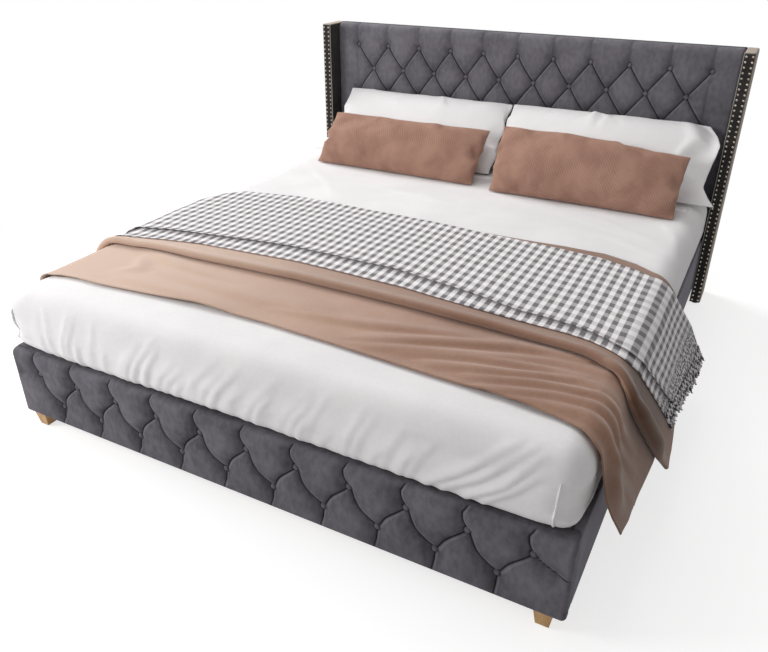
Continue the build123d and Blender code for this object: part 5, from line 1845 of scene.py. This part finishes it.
def straightened(points, cloth, cells, width, height, size, droop):
    """Move the seams to nearly straight lines, a little hollow between the corners."""
    nx, ny = cells
    i = np.rint((cloth[:, 0] / width + 0.5) * nx).astype(int)
    j = np.rint((cloth[:, 1] / height + 0.5) * ny).astype(int)
    u, v = 2 * i / nx - 1, 2 * j / ny - 1
    result = points.copy()
    first, last = points[i * (ny + 1), 2], points[i * (ny + 1) + ny, 2]
    half = size[1] / 2 * (1 - droop * (1 - np.abs(u) ** 3))
    result[:, 2] = half * held_in(2 * (points[:, 2] - first) / (last - first) - 1)
    first, last = points[j, 0], points[nx * (ny + 1) + j, 0]
    half = size[0] / 2 * (1 - 0.6 * droop * (1 - np.abs(v) ** 3))
    result[:, 0] = half * held_in(2 * (points[:, 0] - first) / (last - first) - 1)
    for edge, share in ((i * (ny + 1) + ny, np.clip(v, 0, 1)), (i * (ny + 1), np.clip(-v, 0, 1)),
        (j, np.clip(-u, 0, 1)), (nx * (ny + 1) + j, np.clip(u, 0, 1))):
        result[:, 1] -= 0.85 * points[edge, 1] * share ** 4
    count = (nx + 1) * (ny + 1)
    near_seam = 0.5 * smooth((np.abs(2 * np.arange(ny + 1) / ny - 1) - 0.5) / 0.4)[None, :, None]
    front = result[:count].reshape(nx + 1, ny + 1, 3).copy()
    rear = front.copy()
    rear[1:-1, 1:-1] = result[count:].reshape(nx - 1, ny - 1, 3)
    for panel in (front, rear):
        for _ in range(10):
            panel[1:-1] += near_seam * ((panel[:-2] + panel[2:]) / 2 - panel[1:-1])
    result = np.concatenate([front.reshape(-1, 3), rear[1:-1, 1:-1].reshape(-1, 3)])
    near_end = np.exp(-(1 - np.abs(u)) / 0.09)
    gather = near_end * np.sin(v * 17 + 3 * u + sway(3, v * 5, u * 4))
    inside = (1 - np.abs(u) ** 12) * (1 - np.abs(v) ** 12)
    result[:, 1] *= 1 + 0.045 * gather * inside
    return result, u, v


print("seams can be straightened")

# %% Leaning and pressing
def leaned(points, angle):
    """Lean a standing case back by an angle."""
    tilt = math.radians(angle)
    y = points[:, 1] * math.cos(tilt) + points[:, 2] * math.sin(tilt)
    z = points[:, 2] * math.cos(tilt) - points[:, 1] * math.sin(tilt)
    return np.column_stack([points[:, 0], y, z])


def settled(points, low, high, reach):
    """Fit to the CAD box: slide down and back to it, and flatten softly on the bed and the headboard."""
    points = points.copy()
    first, last = points[:, 0].min(), points[:, 0].max()
    points[:, 0] = reach[0] + (points[:, 0] - first) * (reach[1] - reach[0]) / (last - first)
    depth, gap = 0.012, 0.0006
    bottom = low[2] + gap
    points[:, 2] += bottom - depth - points[:, 2].min()
    under = points[:, 2] < bottom + depth
    rise = (points[:, 2] - (bottom - depth)) / (2 * depth)
    points[:, 2] = np.where(under, bottom + depth * np.clip(rise, 0, 1) ** 2, points[:, 2])
    points[:, 1] += high[1] - gap - points[:, 1].max()
    return points


print("cases can lean")

# %% [markdown]
# ## Filled cases
# One function takes a case from its flat panels to its place on the bed. The left pillow shows the
# closed end of its case and the right one the open end, so each gets its own small change there.

# %% Filled case
def filled_case(name, node, size, reach, flare, make):
    """One pillow or cushion, from flat panels to its place on the bed. Make holds what its kind shares."""
    low, high = (np.array(corner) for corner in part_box(node))
    width, height = size[0] * 1.05, size[1] * 1.1
    points, faces, cloth, cells = sewn_case(width, height, make["step"])
    shaped = blown_up(name, points, faces, make["pressure"])
    first, last = shaped.min(axis=0), shaped.max(axis=0)
    shaped = ((shaped - (last + first) / 2)
        * (np.array([size[0], make["thickness"], size[1]]) / (last - first)))
    shaped, u, v = straightened(shaped, cloth, cells, width, height, size, make["droop"])
    if flare:
        shaped = flare(shaped, u, v)
    placed_points = settled(leaned(shaped, make["lean"]), low, high, reach)
    piece = make_piece(name, placed_points, faces, make["slot"], node)
    turned_out(piece)
    store(piece, "cloth", cloth)
    soft = piece.modifiers.new("soft", "SUBSURF")
    soft.levels = soft.render_levels = 1
    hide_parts(node)
    made = placed_points.max(axis=0) - placed_points.min(axis=0)
    print(name, "size", np.round(made, 3), "box", np.round(high - low, 3))


print("cases can be filled")

# %% White pillows
def closed_end(points, u, v):
    """The left pillow: its lower outer corner sticks out, its open end is soft."""
    ear = smooth((-u - 0.8) / 0.2) * smooth((-v - 0.3) / 0.7)
    points[:, 0] -= 0.095 * ear
    points[:, 1] *= 1 - 0.5 * ear
    wave = smooth((u - 0.86) / 0.14)
    points[:, 0] += 0.006 * wave * np.sin(v * 9)
    points[:, 1] *= 1 + 0.12 * wave * np.sin(v * 21)
    return points


def open_end(points, u, v):
    """The right pillow: the case runs on past the filling, flat, with a fold and two loose tips."""
    past = smooth((u - 0.76) / 0.24)
    turn = 0.79 + 0.05 * v
    cuff, front = smooth((u - turn) / 0.08), points[:, 1] < 0
    fold = 0.013 * np.exp(-((u - turn) / 0.04) ** 2) - 0.016 * np.exp(-((u - turn - 0.1) / 0.05) ** 2)
    edge = np.interp(v, (-1, -0.8, -0.55, -0.2, 0.1, 0.42, 0.7, 1),
        (0.132, 0.098, 0.066, 0.072, 0.086, 0.092, 0.072, 0.03))
    points[:, 0] += past * edge
    points[:, 1] *= 1 - 0.35 * cuff
    points[:, 1] -= front * fold * (1 - v ** 8)
    points[:, 1] += past * (0.012 - 0.04 * np.exp(-((v - 0.3) / 0.42) ** 2))
    return points


pillow = {
    "slot": "pillow_cotton", "thickness": 0.15, "lean": 42, "step": 0.014, "pressure": 4.0,
    "fill": 0.7, "droop": 0.02,
}
filled_case("white_pillow_left", "pillow_left", (0.84, 0.365), (-0.95, 0.012), closed_end, pillow)
filled_case("white_pillow_right", "pillow_right", (0.82, 0.36), (0.014, 0.97), open_end, pillow)

# %% [markdown]
# ## Lumbar cushions
# Both cushions are made as the pillows are, fuller and in corduroy. The right one sags towards its
# outer end, which is a small change after the filling.

# %% Lumbar cushions
def sagging_end(points, u, v):
    """The right cushion: its top sags to the outer end and its lower inner corner is drawn in."""
    points[:, 2] -= 0.04 * smooth((u + 0.3) / 1.3) * (v + 1) / 2
    points[:, 0] += 0.026 * smooth((-u - 0.2) / 0.8) * smooth((-v + 0.2) / 1.2)
    return points


cushion = {
    "slot": "tan_corduroy", "thickness": 0.13, "lean": 45, "step": 0.013, "pressure": 4.5,
    "fill": 0.85, "droop": 0.045,
}
filled_case("lumbar_cushion_left", "cushion_left", (0.8, 0.285), (-0.815, -0.01), None, cushion)
filled_case("lumbar_cushion_right", "cushion_right", (0.8, 0.325), (0.045, 0.84), sagging_end, cushion)
